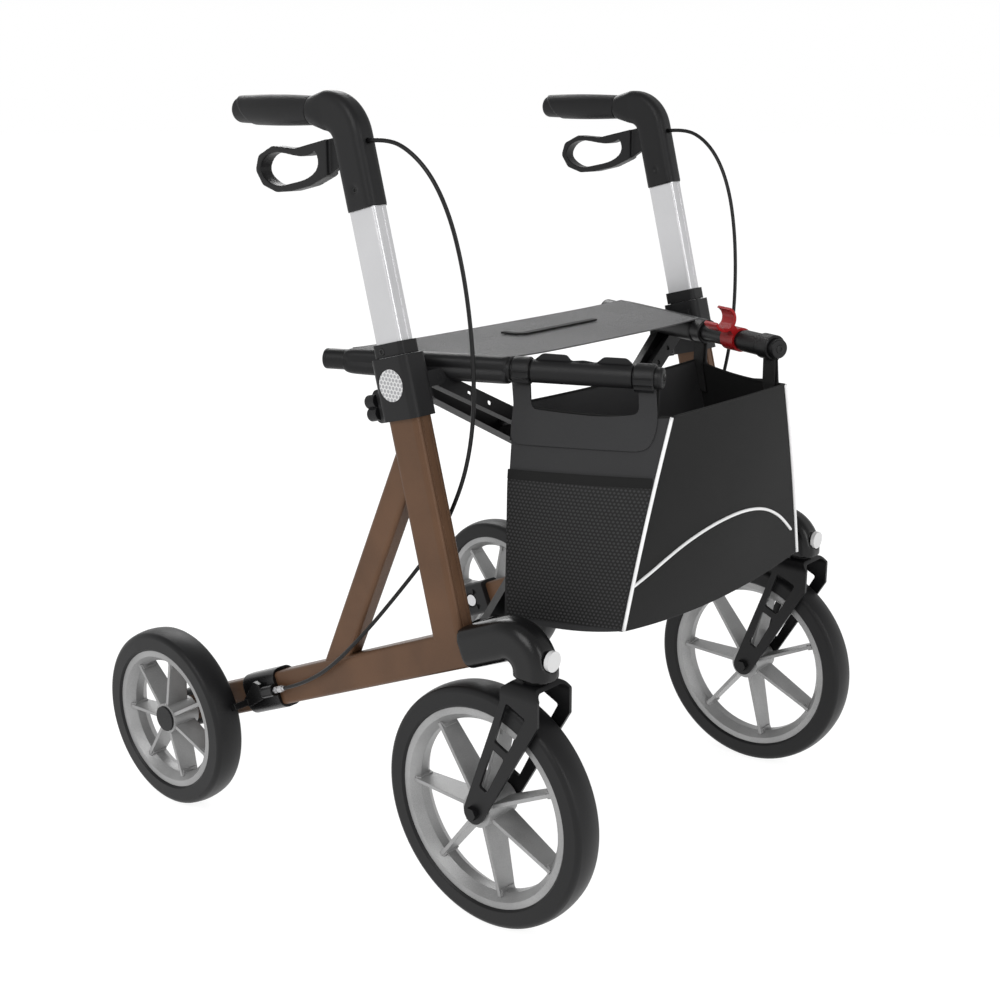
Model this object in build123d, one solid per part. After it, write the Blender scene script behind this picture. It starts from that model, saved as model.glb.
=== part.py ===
"""Four-wheeled folding rollator (walking frame with seat and bag), in millimetres.

+Z is up and the front of the frame faces -Y. Standing behind it, the user's right hand is at -X.
Every piece is drawn with y = 0 at the front hubs and their axis at FRONT_HUB_Z. save() then moves
it, so that the origin of the finished model is on the floor, on the middle plane and at the middle
of the length.
Pieces of the right side (-X) are drawn first and mirrored to make the left side.
"""

from build123d import *
from math import acos, atan2, cos, degrees, hypot, pi, radians, sin, tan
import os

# --- overall sizes -------------------------------------------------------------------------
FRONT_R = 145.0  # front wheels, 290 mm
FRONT_HUB_Z, REAR_HUB_Z = 140.0, 115.0  # heights in the drawing
WHEELBASE = 520.0
FRAME_X = 285.0  # middle plane of each side frame
REAR_TRACK_X = 334.0  # middle plane of each rear wheel
SEAT_TUBE_Z = 621.0
HANDLE_Z = 902.0  # grip axis, handles at their lowest

# --- clearances ----------------------------------------------------------------------------
RUNNING = 0.05  # radial, shafts that turn in bores
SLIDING = 0.8  # each side, telescopic tube in the upright
FREE = 0.4  # pieces of different bodies that only pass each other
WASHER_GAP = 0.5

# --- side frame ----------------------------------------------------------------------------
RAIL_SLOPE = 23.0
RAIL_H, RAIL_W, RAIL_CORNER = 43.0, 28.0, 5.0
RAIL_REAR = 24.0  # rail goes on past the rear axle by this much
RAIL_FRONT_Y = 4.0  # front end of the rail, inside the fork head
WALL = 2.2
UPRIGHT_FOOT_Y = 50.0
UPRIGHT_LEAN = 14.5
UPRIGHT_D, UPRIGHT_W, UPRIGHT_CORNER = 46.0, 28.0, 7.0
GROOVE_W, GROOVE_D = 3.0, 1.0  # pair of fine grooves on the front face of the upright
BRACE_FOOT_Y = 251.0
BRACE_LEAN = 24.7
BRACE_D, BRACE_W, BRACE_CORNER = 35.0, 23.0, 5.0

# --- clamp housing, measured along the upright from its foot -----------------------------------
HOUSING_FROM, HOUSING_LENGTH = 266.0, 70.0
HOUSING_WALL = 4.6
UPRIGHT_END_BELOW = 12.0  # the brown tube ends this far below the top of the housing
REFLECTOR_R, REFLECTOR_T = 18.0, 2.5
KNOB_UP = 18.0  # knob axis above the lower edge of the housing
KNOB_R, KNOB_T, KNOB_STEM_R, KNOB_LOBES = 20.0, 15.0, 4.0, 5
KNOB_GAP = 2.0
BOSS_D, BOSS_W, BOSS_H = 5.0, 26.0, 34.0
COLLAR_H, COLLAR_WALL = 15.0, 3.4

# --- handle --------------------------------------------------------------------------------
TUBE_D, TUBE_W, TUBE_CORNER, TUBE_WALL = 40.0, 22.0, 4.0, 1.8
TUBE_FROM = 96.0  # lower end of the telescopic tube, along the upright
COLUMN_D, COLUMN_W, COLUMN_CORNER = 44.0, 29.0, 9.0
COLUMN_LENGTH = 108.0  # lower edge of the handle body below the grip axis, along the upright
ELBOW_R = 36.0
NECK_LENGTH = 26.0
GRIP_LENGTH, GRIP_R, GRIP_CORE_R = 128.0, 16.0, 9.0
TUBE_IN_COLUMN = 32.0
SCREW_R, SCREW_UP = 4.2, 22.0
LEVER_W, LEVER_ROOT_W = 18.0, 9.0
LEVER_PIVOT_DOWN, LEVER_PIVOT_R = 38.0, 3.0

# --- fork head, fork and wheels --------------------------------------------------------------
TRAIL = 66.0
HEAD_D, HEAD_W, HEAD_CORNER = 46.0, 40.0, 15.0
HEAD_BEND_R = 30.0
HEAD_BOTTOM_Z = 313.0
HEAD_COVER = 26.0  # the fork head covers this much of the rail
CAP_R, CAP_Z, CAP_T = 11.5, 336.0, 3.0
STEM_R, STEM_LENGTH = 7.0, 30.0
FORK_GAP, FORK_T, FORK_BEND = 26.0, 4.0, 13.0  # half gap, sheet, outer bend radius
FORK_TOP_DEPTH, FORK_FOOT_R, FORK_TOP_CORNER = 52.0, 14.0, 9.0
FRONT_AXLE_R, REAR_AXLE_R = 4.0, 6.0
BOLT_AF, BOLT_T = 14.0, 6.0
TYRE_W, TYRE_WALL_FRONT, TYRE_WALL_REAR = 40.0, 25.5, 26.0
RIM_W, RIM_DEPTH, RIM_SEAT = 34.0, 16.0, 7.5
HUB_R, HUB_HALF, REAR_HUB_OUT = 20.0, 24.0, 15.0  # the rear hub is shorter on its outer side
SPOKES, SPOKE_T, SPOKE_HUB_W, SPOKE_RIM_W = 7, 4.4, 36.0, 25.0
FRONT_SPOKE_PHASE, REAR_SPOKE_PHASE = 0.0, -4.0
BEARING_R, BEARING_W = 13.0, 7.0
HUB_CAP_T = 2.5

# --- brake ---------------------------------------------------------------------------------
BRAKE_FROM, BRAKE_LENGTH = 124.0, 66.0  # along the rail, from the rear axle forwards
BRAKE_WALL = 4.5
SHOE_TRAVEL = 4.5
SHOE_GAP = 0.4  # left between shoe and tyre when the brake is on
SHOE_W = 20.0
CABLE_R = 2.4
ADJUSTER_R, ADJUSTER_LENGTH = 4.6, 26.0

# --- cross frame ---------------------------------------------------------------------------
FOLD_TILT = 19.3  # lean of the plane in which the bars lie
HINGE_X, HINGE_Y, HINGE_Z = 240.0, 45.0, 330.0  # lower bar hinges
CROSS_Z = 468.0  # where the bars cross
BAR_T, BAR_W, BAR_GAP = 14.0, 26.0, 2.0
BAR_WALL = 2.5
HINGE_R, EYE_R, LUG_T = 5.0, 12.0, 4.0
SEAT_TUBE_R = 12.0
SEAT_TUBE_FRONT_X, SEAT_TUBE_FRONT_Y, SEAT_TUBE_REAR_Y = 125.0, -107.0, 258.0
SPLAY = 22.0
TUBE_CAP_T = 5.0
LINK_ANCHOR_X, LINK_ANCHOR_Z = 245.0, 611.0
LINK_W, LINK_T, LINK_WALL = 18.0, 10.0, 2.0
LINK_PIN_R = 4.0
CLIP_Y, CLIP_LENGTH, CLIP_WALL = -28.0, 26.0, 3.2

# --- seat and bag ----------------------------------------------------------------------------
SEAT_FRONT_Y, SEAT_REAR_Y, SEAT_T = 50.0, 229.0, 2.6
SEAT_OVER = 14.0  # the sheet reaches this far out past the tube axes
BAG_TOP = ((121.0, -120.0), (186.0, 47.0))  # front and rear corners, half the width
BAG_BOTTOM = ((187.0, -110.0), (228.0, 22.0))
BAG_TOP_Z, BAG_BOTTOM_Z = 579.0, 341.0
BAG_WALL = 4.0

# --- derived places ------------------------------------------------------------------------
REAR_R = FRONT_R - FRONT_HUB_Z + REAR_HUB_Z  # both wheels stand on the floor
SHIFT_Y = -(WHEELBASE + REAR_R - FRONT_R) / 2  # from the front hubs to the middle of the length
SHIFT_Z = FRONT_R - FRONT_HUB_Z  # from the height in the drawing to the height over the floor
slope, lean, tilt, splay = (radians(a) for a in (RAIL_SLOPE, UPRIGHT_LEAN, FOLD_TILT, SPLAY))


def rail_z(y):
    """Height of the rail's middle line at y."""
    return REAR_HUB_Z + (WHEELBASE - y) * tan(slope)


FOOT_Z = rail_z(UPRIGHT_FOOT_Y)


def upright_point(along, back=0.0):
    """(y, z) at a distance up the upright, and back from its middle line."""
    y = UPRIGHT_FOOT_Y + along * sin(lean) + back * cos(lean)
    return y, FOOT_Z + along * cos(lean) - back * sin(lean)


def rail_point(along, up=0.0):
    """(y, z) at a distance up the rail from the rear axle, and above its middle line."""
    y = WHEELBASE - along * cos(slope) + up * sin(slope)
    return y, REAR_HUB_Z + along * sin(slope) + up * cos(slope)


HOUSING_TOP = HOUSING_FROM + HOUSING_LENGTH
GRIP_ALONG = (HANDLE_Z - FOOT_Z) / cos(lean)
COLUMN_FROM = GRIP_ALONG - COLUMN_LENGTH
FORK_TOP_Z = HEAD_BOTTOM_Z - WASHER_GAP - 4.0

# The bars turn about axes parallel to FOLD_AXIS. Points of their plane are (x, up) from the
# right lower hinge, with up measured along PLANE_UP.
FOLD_AXIS = Vector(0, -cos(tilt), sin(tilt))
PLANE_UP = Vector(0, sin(tilt), cos(tilt))
LINK_LAYER = BAR_GAP / 2 + BAR_T + FREE + LUG_T + WASHER_GAP + LINK_T / 2  # in front of both bars
HINGE = Vector(-HINGE_X, HINGE_Y, HINGE_Z)
CROSS_UP = (CROSS_Z - HINGE_Z) / cos(tilt)
SEAT_UP = (SEAT_TUBE_Z - HINGE_Z) / cos(tilt)
SEAT_JOIN_Y = HINGE_Y + SEAT_UP * sin(tilt)
SEAT_JOIN_X = SEAT_TUBE_FRONT_X + (SEAT_JOIN_Y - SEAT_TUBE_FRONT_Y) * tan(splay)
BAR_L = hypot(HINGE_X, CROSS_UP)
BAR_ANGLE = atan2(CROSS_UP, HINGE_X)
FOLD_RANGE = atan2(tan(splay), sin(tilt))  # the seat tubes are parallel there
ANCHOR = (
    HINGE_X - LINK_ANCHOR_X,
    (LINK_ANCHOR_Z - LINK_LAYER * sin(tilt) - HINGE_Z) / cos(tilt),
)


def bar_layer(bar_side):
    """Middle layer of bar a (+1) or bar b (-1)."""
    return bar_side * (BAR_GAP + BAR_T) / 2


def in_plane(x, up, layer=0.0):
    """A point of the bars' plane, moved along the fold axis by layer."""
    return HINGE + Vector(1, 0, 0) * x + PLANE_UP * up + FOLD_AXIS * layer


def link_end(reach, angle):
    """Where the link meets the bar, reach beyond the crossing, with the bars at an angle."""
    return (BAR_L - reach) * cos(angle), (BAR_L + reach) * sin(angle)


def link_length(reach, angle):
    x, up = link_end(reach, angle)
    return hypot(x - ANCHOR[0], up - ANCHOR[1])


def solve_reach():
    """The reach for which the link is as long when folded as when open."""
    low, high = 0.0, 0.9 * BAR_L
    for _ in range(60):
        middle = (low + high) / 2
        if link_length(middle, BAR_ANGLE) > link_length(middle, BAR_ANGLE + FOLD_RANGE):
            low = middle
        else:
            high = middle
    return low


LINK_REACH = solve_reach()
LINK_END = link_end(LINK_REACH, BAR_ANGLE)


# --- helpers -------------------------------------------------------------------------------
def slab(outline, x_from, x_to):
    """A side-view outline (local x along Y, local y along Z) made thick along X."""
    return extrude(Plane.YZ.offset(x_from) * outline, x_to - x_from, dir=(1, 0, 0))


def x_rod(y, z, radius, x_from, x_to):
    return slab(Pos(y, z) * Circle(radius), x_from, x_to)


def side_bar(start, end, depth, width, corner, x=-FRAME_X):
    """A rounded rectangular bar in the side plane, from one (y, z) to another."""
    run = Vector(0, end[0] - start[0], end[1] - start[1])
    plane = Plane(origin=(x, *start), x_dir=(1, 0, 0), z_dir=run)
    return extrude(plane * RectangleRounded(width, depth, corner), run.length)


def plate(outline, layer_from, layer_to):
    """An outline of the bars' plane, drawn from the right hinge, made thick along FOLD_AXIS."""
    plane = Plane(origin=in_plane(0, 0, layer_from), x_dir=(1, 0, 0), z_dir=FOLD_AXIS)
    return extrude(plane * outline, layer_to - layer_from, dir=FOLD_AXIS)


def pin(x, up, radius, layer_from, layer_to):
    return plate(sketch_at(x, up) * Circle(radius), layer_from, layer_to)


def sketch_at(x, up):
    """Place in the plate sketches, whose local y points up the bars' plane."""
    return Pos(x, up)


def stadium(start, end, radius):
    """A strip with round ends between two points of the bars' plane."""
    (x0, u0), (x1, u1) = start, end
    angle = degrees(atan2(u1 - u0, x1 - x0))
    length = hypot(x1 - x0, u1 - u0)
    middle = sketch_at((x0 + x1) / 2, (u0 + u1) / 2)
    return middle * Rot(0, 0, angle) * SlotCenterToCenter(length, 2 * radius)


def largest(shape):
    return max(shape.solids(), key=lambda s: s.volume)


def mirrored(shape):
    return mirror(shape, about=Plane.YZ)


written = {}


def save(name, shape):
    """Write one node, moved so that the origin is on the floor, in the middle of the length."""
    placed = Pos(0, SHIFT_Y, SHIFT_Z) * shape
    placed.label = name
    written[name] = placed
    export_step(placed, f"parts/{name}.step")


def save_pair(name, shape):
    save(f"right_{name}", shape)
    save(f"left_{name}", mirrored(shape))


# --- side frame ----------------------------------------------------------------------------
def rail(grow=0.0, along_from=-RAIL_REAR, along_to=None):
    if along_to is None:
        along_to = (WHEELBASE - RAIL_FRONT_Y) / cos(slope)
    start, end = rail_point(along_from), rail_point(along_to)
    return side_bar(start, end, RAIL_H + 2 * grow, RAIL_W + 2 * grow, RAIL_CORNER + grow)


def upright(grow=0.0, along_from=0.0, along_to=HOUSING_TOP - UPRIGHT_END_BELOW):
    start, end = upright_point(along_from), upright_point(along_to)
    depth, width = UPRIGHT_D + 2 * grow, UPRIGHT_W + 2 * grow
    return side_bar(start, end, depth, width, UPRIGHT_CORNER + grow)


def brace(grow=0.0):
    foot = (BRACE_FOOT_Y, rail_z(BRACE_FOOT_Y))
    # The brace ends on the upright's middle line.
    angle = radians(BRACE_LEAN)
    gap = foot[0] - UPRIGHT_FOOT_Y - (foot[1] - FOOT_Z) * tan(lean)
    rise = gap / (tan(angle) + tan(lean))
    top = (foot[0] - rise * tan(angle), foot[1] + rise)
    return side_bar(foot, top, BRACE_D + 2 * grow, BRACE_W + 2 * grow, BRACE_CORNER + grow)


def side_frame():
    frame = rail() + upright() + brace()
    rail_inside = rail(-WALL, -RAIL_REAR - 1, (WHEELBASE - RAIL_FRONT_Y) / cos(slope) + 1)
    upright_inside = upright(-WALL, RAIL_H / 2 + WALL, HOUSING_TOP)
    frame = frame - rail_inside - upright_inside - (brace(-WALL) - rail() - upright())
    for side in (-1, 1):
        x = -FRAME_X + side * UPRIGHT_W / 5
        start = upright_point(RAIL_H / 2 + 6, -UPRIGHT_D / 2)
        end = upright_point(HOUSING_FROM, -UPRIGHT_D / 2)
        frame -= side_bar(start, end, 2 * GROOVE_D, GROOVE_W, GROOVE_D / 2, x)
    return largest(frame - rear_axle())


# --- clamp housing with reflector, knob and collar --------------------------------------------
def clamp_housing():
    start, end = upright_point(HOUSING_FROM), upright_point(HOUSING_TOP)
    depth, width = UPRIGHT_D + 2 * HOUSING_WALL, UPRIGHT_W + 2 * HOUSING_WALL
    body = side_bar(start, end, depth, width, UPRIGHT_CORNER + 2)
    knob_y, knob_z = upright_point(HOUSING_FROM + KNOB_UP, UPRIGHT_D / 2)
    back = Plane(origin=(-FRAME_X, knob_y, knob_z), x_dir=(1, 0, 0), z_dir=(0, cos(lean), -sin(lean)))
    body += extrude(back * RectangleRounded(BOSS_W, BOSS_H, 5), HOUSING_WALL + BOSS_D)
    body += link_bracket()
    body -= side_bar(*map(upright_point, (HOUSING_FROM - 1, HOUSING_TOP - UPRIGHT_END_BELOW)),
                     UPRIGHT_D, UPRIGHT_W, UPRIGHT_CORNER)
    body -= side_bar(*map(upright_point, (HOUSING_FROM, HOUSING_TOP + 1)),
                     TUBE_D + 2 * SLIDING, TUBE_W + 2 * SLIDING, TUBE_CORNER + SLIDING)
    body -= extrude(back * Circle(KNOB_STEM_R + RUNNING), HOUSING_WALL + BOSS_D + 1)
    return largest(body - reflector_disc() - link_pin_bore())


def reflector_disc():
    y, z = upright_point(HOUSING_FROM + 0.56 * HOUSING_LENGTH)
    outer = -FRAME_X - UPRIGHT_W / 2 - HOUSING_WALL
    return x_rod(y, z, REFLECTOR_R, outer - 0.4, outer + REFLECTOR_T)


def link_bracket():
    """The ribbed ears on the inner side that carry the link's fixed pivot."""
    inner = HINGE_X - FRAME_X + UPRIGHT_W / 2 + HOUSING_WALL
    root = (inner - 2, ANCHOR[1])
    near = LINK_LAYER - LINK_T / 2 - WASHER_GAP
    far = LINK_LAYER + LINK_T / 2 + WASHER_GAP
    ear = stadium(root, ANCHOR, LINK_W / 2)
    ears = plate(ear, near - LUG_T, near) + plate(ear, far, far + LUG_T)
    block = sketch_at(inner + 2, ANCHOR[1]) * Rectangle(6, 2.2 * LINK_W)
    return ears + plate(block, near - LUG_T, far + LUG_T)


def link_pin_bore():
    return pin(*ANCHOR, LINK_PIN_R + RUNNING, LINK_LAYER - LINK_T, LINK_LAYER + LINK_T)


def clamp_knob():
    y, z = upright_point(HOUSING_FROM + KNOB_UP, UPRIGHT_D / 2 + WASHER_GAP)
    plane = Plane(origin=(-FRAME_X, y, z), x_dir=(1, 0, 0), z_dir=(0, cos(lean), -sin(lean)))
    reach = HOUSING_WALL + BOSS_D + KNOB_GAP - WASHER_GAP
    star = Circle(KNOB_R * 0.62)
    for n in range(KNOB_LOBES):
        star += Rot(0, 0, n * 360 / KNOB_LOBES) * Pos(KNOB_R * 0.6, 0) * Circle(KNOB_R * 0.4)
    head = extrude(plane.offset(reach) * star, KNOB_T)
    rounds = head.edges().filter_by(GeomType.CIRCLE).sort_by(Axis((0, y, z), plane.z_dir))
    head = fillet(rounds[-KNOB_LOBES:], 1.5)
    return head + extrude(plane * Circle(KNOB_STEM_R), reach + 2)


def stop_collar():
    ends = HOUSING_TOP + WASHER_GAP, HOUSING_TOP + WASHER_GAP + COLLAR_H
    body = side_bar(*map(upright_point, ends), TUBE_D + 2 * COLLAR_WALL, TUBE_W + 2 * COLLAR_WALL, 6)
    return body - handle_tube(hollow=False)


# --- handle --------------------------------------------------------------------------------
def handle_tube(hollow=True):
    ends = TUBE_FROM, COLUMN_FROM + TUBE_IN_COLUMN
    tube = side_bar(*map(upright_point, ends), TUBE_D, TUBE_W, TUBE_CORNER)
    if hollow:
        inner = side_bar(*map(upright_point, (ends[0] - 1, ends[1] + 1)),
                         TUBE_D - 2 * TUBE_WALL, TUBE_W - 2 * TUBE_WALL, TUBE_CORNER - TUBE_WALL)
        tube -= inner
        face = upright_point(ends[0] - 1, -TUBE_D / 2), upright_point(ends[1], -TUBE_D / 2)
        tube -= side_bar(*face, 1.6, 7, 0.7)
    return tube


def handle_path():
    """Middle line of the handle body: up the column, round the elbow and back to the neck."""
    foot = upright_point(COLUMN_FROM)
    corner = upright_point(GRIP_ALONG)
    turn = pi / 2 - lean
    back = (corner[0] + ELBOW_R * tan(turn / 2), HANDLE_Z)
    return foot, corner, back


NECK_Y = handle_path()[2][0] + 1.0
GRIP_FROM_Y = NECK_Y + NECK_LENGTH


def handle_body():
    foot, corner, _ = handle_path()
    corners = [(-FRAME_X, *foot), (-FRAME_X, *corner), (-FRAME_X, NECK_Y, HANDLE_Z)]
    line = FilletPolyline(*corners, radius=ELBOW_R)
    start = Plane(origin=(-FRAME_X, *foot), x_dir=(1, 0, 0), z_dir=(0, sin(lean), cos(lean)))
    column = sweep(start * RectangleRounded(COLUMN_W, COLUMN_D, COLUMN_CORNER), path=line)
    neck_start = Plane(origin=(-FRAME_X, NECK_Y, HANDLE_Z), x_dir=(1, 0, 0), z_dir=(0, 1, 0))
    neck_section = neck_start * RectangleRounded(COLUMN_W, COLUMN_D, COLUMN_CORNER)
    neck = loft([neck_section, neck_start.offset(NECK_LENGTH) * RectangleRounded(
        2 * GRIP_R, 2 * GRIP_R, GRIP_R - 0.5)])
    core = extrude(neck_start * Circle(GRIP_CORE_R), NECK_LENGTH + GRIP_LENGTH - 8)
    body = column + neck + core - handle_tube(hollow=False)
    body -= lever_slot()
    body -= cable_tube(CABLE_R + FREE, inside=12)
    for side in (-1, 1):
        y, z = upright_point(COLUMN_FROM + SCREW_UP)
        face = -FRAME_X + side * COLUMN_W / 2
        body -= x_rod(y, z, SCREW_R, face - 2, face + 2)
    return largest(body)


def lever_pivot():
    return upright_point(GRIP_ALONG - LEVER_PIVOT_DOWN, COLUMN_D / 2 - 11)


def lever_slot():
    """Opening in the back of the column in which the lever's root turns."""
    y, z = lever_pivot()
    half = LEVER_ROOT_W / 2 + FREE
    low, high = z - 27, z + 17
    outline = Polygon((y - 9, low + 16), (y - 9, high - 4), (y, high + 4), (y + 40, high + 4),
                      (y + 40, low - 6), (y, low), align=None)
    slot = slab(outline, -FRAME_X - half, -FRAME_X + half)
    return slot - x_rod(y, z, LEVER_PIVOT_R, -FRAME_X - half, -FRAME_X + half)


def grip():
    plane = Plane(origin=(-FRAME_X, GRIP_FROM_Y, HANDLE_Z), x_dir=(1, 0, 0), z_dir=(0, 1, 0))
    outline = Polyline((GRIP_CORE_R, 0), (GRIP_R, 0))
    outline += Spline((GRIP_R, 0), (GRIP_R + 1.2, GRIP_LENGTH * 0.4), (GRIP_R, GRIP_LENGTH - 8))
    outline += RadiusArc((GRIP_R, GRIP_LENGTH - 8), (GRIP_R - 7, GRIP_LENGTH), -8)
    outline += Polyline((GRIP_R - 7, GRIP_LENGTH), (0, GRIP_LENGTH), (0, GRIP_LENGTH - 8),
                        (GRIP_CORE_R, GRIP_LENGTH - 8), (GRIP_CORE_R, 0))
    profile = make_face(Plane.XZ * outline)
    body = revolve(profile, axis=Axis.Z)
    return plane.location * body


def brake_lever():
    """The closed loop lever; its middle is open for the fingers."""
    py, pz = lever_pivot()
    outer = [(6, 14), (28, 9), (80, -2), (118, 0), (142, -11), (148, -28), (136, -45), (113, -52),
             (88, -50), (56, -43), (30, -32), (2, -14)]
    inner = [(48, -5), (80, -10), (118, -8), (134, -16), (139, -28), (130, -38), (112, -44),
             (88, -41), (62, -35), (44, -24), (41, -14)]
    loop = make_face(Spline(*[(py + a, pz + b) for a, b in inner], periodic=True))
    body = make_face(FilletPolyline(*[(py + a, pz + b) for a, b in outer], radius=8, close=True))
    wide = slab(body - loop, -FRAME_X - LEVER_W / 2, -FRAME_X + LEVER_W / 2)
    root_end = py + COLUMN_D / 2 + 4
    narrow = slab(Pos(root_end - 30, pz) * Rectangle(60, 90), -FRAME_X - LEVER_W, -FRAME_X + LEVER_W)
    root = slab(body - loop + Pos(py, pz) * Circle(8.5), -FRAME_X - LEVER_ROOT_W / 2,
                -FRAME_X + LEVER_ROOT_W / 2)
    bore = x_rod(py, pz, LEVER_PIVOT_R + RUNNING, -FRAME_X - LEVER_W, -FRAME_X + LEVER_W)
    return largest((wide - narrow) + root - bore)


# --- fork head, caster and wheels --------------------------------------------------------------
def fork_head(bar_side):
    """Casting at the front of the rail; bar_side is the layer of the bar hinged on its lug."""
    along = (WHEELBASE - RAIL_FRONT_Y) / cos(slope)
    start = rail_point(along - HEAD_COVER)
    corner = (-TRAIL, rail_z(-TRAIL))
    line = FilletPolyline((-FRAME_X, *start), (-FRAME_X, *corner),
                          (-FRAME_X, -TRAIL, HEAD_BOTTOM_Z), radius=HEAD_BEND_R)
    plane = Plane(origin=(-FRAME_X, *start), x_dir=(1, 0, 0), z_dir=(0, -cos(slope), sin(slope)))
    head = sweep(plane * RectangleRounded(HEAD_W, HEAD_D + 2, HEAD_CORNER), path=line)
    head = head - rail() - upright() + hinge_lug(bar_side)
    head -= Pos(-FRAME_X, -TRAIL, HEAD_BOTTOM_Z - 1) * Cylinder(
        STEM_R + RUNNING, STEM_LENGTH + 2, align=(Align.CENTER, Align.CENTER, Align.MIN))
    return largest(head - head_cap())


def hinge_lug(bar_side):
    """Lug on the inner side of the rail with the pin of the lower bar hinge."""
    face = -FRAME_X + RAIL_W / 2
    depth = 6.0
    ends = [rail_point((WHEELBASE - y) / cos(slope)) for y in (HINGE_Y + 26, RAIL_FRONT_Y)]
    lug = side_bar(*ends, RAIL_H - 12, depth, 2, face + depth / 2) - rail() - upright()
    root = (face + HINGE_X, 0)
    ear = stadium(root, (0, 0), EYE_R)
    middle, half = bar_layer(bar_side), BAR_T / 2 + WASHER_GAP
    near, far = middle - half, middle + half
    ears = plate(ear, near - LUG_T, near) + plate(ear, far, far + LUG_T)
    return lug + (ears - rail() - upright()) + pin(0, 0, HINGE_R, near - LUG_T, far + LUG_T)


def head_cap():
    """Round cap let into the front of the fork head."""
    front = -TRAIL - HEAD_D / 2 - 2
    disc = Plane(origin=(-FRAME_X, front, CAP_Z), x_dir=(1, 0, 0), z_dir=(0, 1, 0)) * Circle(CAP_R)
    return extrude(disc, CAP_T + 6)


def fork():
    width = 2 * (FORK_GAP + FORK_T)
    height = FORK_TOP_Z - FRONT_HUB_Z + FORK_FOOT_R + 2
    outer = Pos(0, FORK_TOP_Z - height / 2 - 40) * RectangleRounded(width, height + 80, FORK_BEND)
    inner = Pos(0, FORK_TOP_Z - FORK_T - height / 2 - 40) * RectangleRounded(
        2 * FORK_GAP, height + 80, FORK_BEND - FORK_T)
    channel = extrude(Plane.XZ.offset(TRAIL + FORK_TOP_DEPTH) * (outer - inner),
                      -(TRAIL + FORK_TOP_DEPTH + 2 * FORK_FOOT_R))
    half = FORK_TOP_DEPTH / 2
    top = FORK_TOP_Z
    foot_side = acos(FORK_FOOT_R / hypot(TRAIL - half, top - 22 - FRONT_HUB_Z))
    reach = atan2(top - 22 - FRONT_HUB_Z, -TRAIL + half)
    tangent = reach - foot_side
    rear_foot = (FORK_FOOT_R * cos(tangent), FRONT_HUB_Z + FORK_FOOT_R * sin(tangent))
    front_dir = atan2(top - 40 - FRONT_HUB_Z, -TRAIL - half)
    front_tangent = front_dir + acos(FORK_FOOT_R / hypot(TRAIL + half, top - 40 - FRONT_HUB_Z))
    front_foot = (FORK_FOOT_R * cos(front_tangent), FRONT_HUB_Z + FORK_FOOT_R * sin(front_tangent))
    front, rear = -TRAIL - half, -TRAIL + half
    side = Polygon(rear_foot, (rear, top - 22), (rear, top - 6), (rear - 8, top + 1),
                   (front + 10, top + 1), (front, top - 10), (front, top - 40), front_foot, align=None)
    side += Pos(0, FRONT_HUB_Z) * Circle(FORK_FOOT_R)
    side -= fork_cutouts()
    body = channel & slab(side, -width, width)
    body = Pos(-FRAME_X, 0, 0) * body
    stem = Pos(-FRAME_X, -TRAIL, FORK_TOP_Z - 1) * Cylinder(
        STEM_R, STEM_LENGTH, align=(Align.CENTER, Align.CENTER, Align.MIN))
    washer = Pos(-FRAME_X, -TRAIL, FORK_TOP_Z - 1) * Cylinder(
        2 * STEM_R, 5, align=(Align.CENTER, Align.CENTER, Align.MIN))
    return largest(body + stem + washer - front_axle(grow=0))


def fork_cutouts():
    """Two tapering windows in each leg, along the line from the axle to the top."""
    top = (-TRAIL, FORK_TOP_Z - 20)
    run = Vector(top[0], top[1] - FRONT_HUB_Z)
    out = Vector(-run.Y, run.X).normalized()

    def window(low, high, wide_low, wide_high):
        corners = []
        for share, wide in ((low, wide_low), (low, -wide_low), (high, -wide_high), (high, wide_high)):
            point = run * share + out * wide
            corners.append((point.X, FRONT_HUB_Z + point.Y))
        shape = Polygon(*corners, align=None)
        return fillet(shape.vertices(), 3)

    return window(0.22, 0.56, 6, 9.5) + window(0.62, 0.95, 10.5, 15)


def front_axle(grow=0.0):
    end = FORK_GAP + FORK_T
    rod = x_rod(0, FRONT_HUB_Z, FRONT_AXLE_R + grow, -FRAME_X - end, -FRAME_X + end)
    for side in (-1, 1):
        face = -FRAME_X + side * end
        outline = Pos(0, FRONT_HUB_Z) * RegularPolygon(BOLT_AF / 2, 6, major_radius=False)
        rod += slab(outline, face, face + side * BOLT_T)
    return rod


def wheel_profile(points):
    """A closed half section (x, r) turned about the wheel's axis, which lies along X."""
    return revolve(make_face(Plane.XY * Polyline(*points, close=True)), axis=Axis.X)


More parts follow.
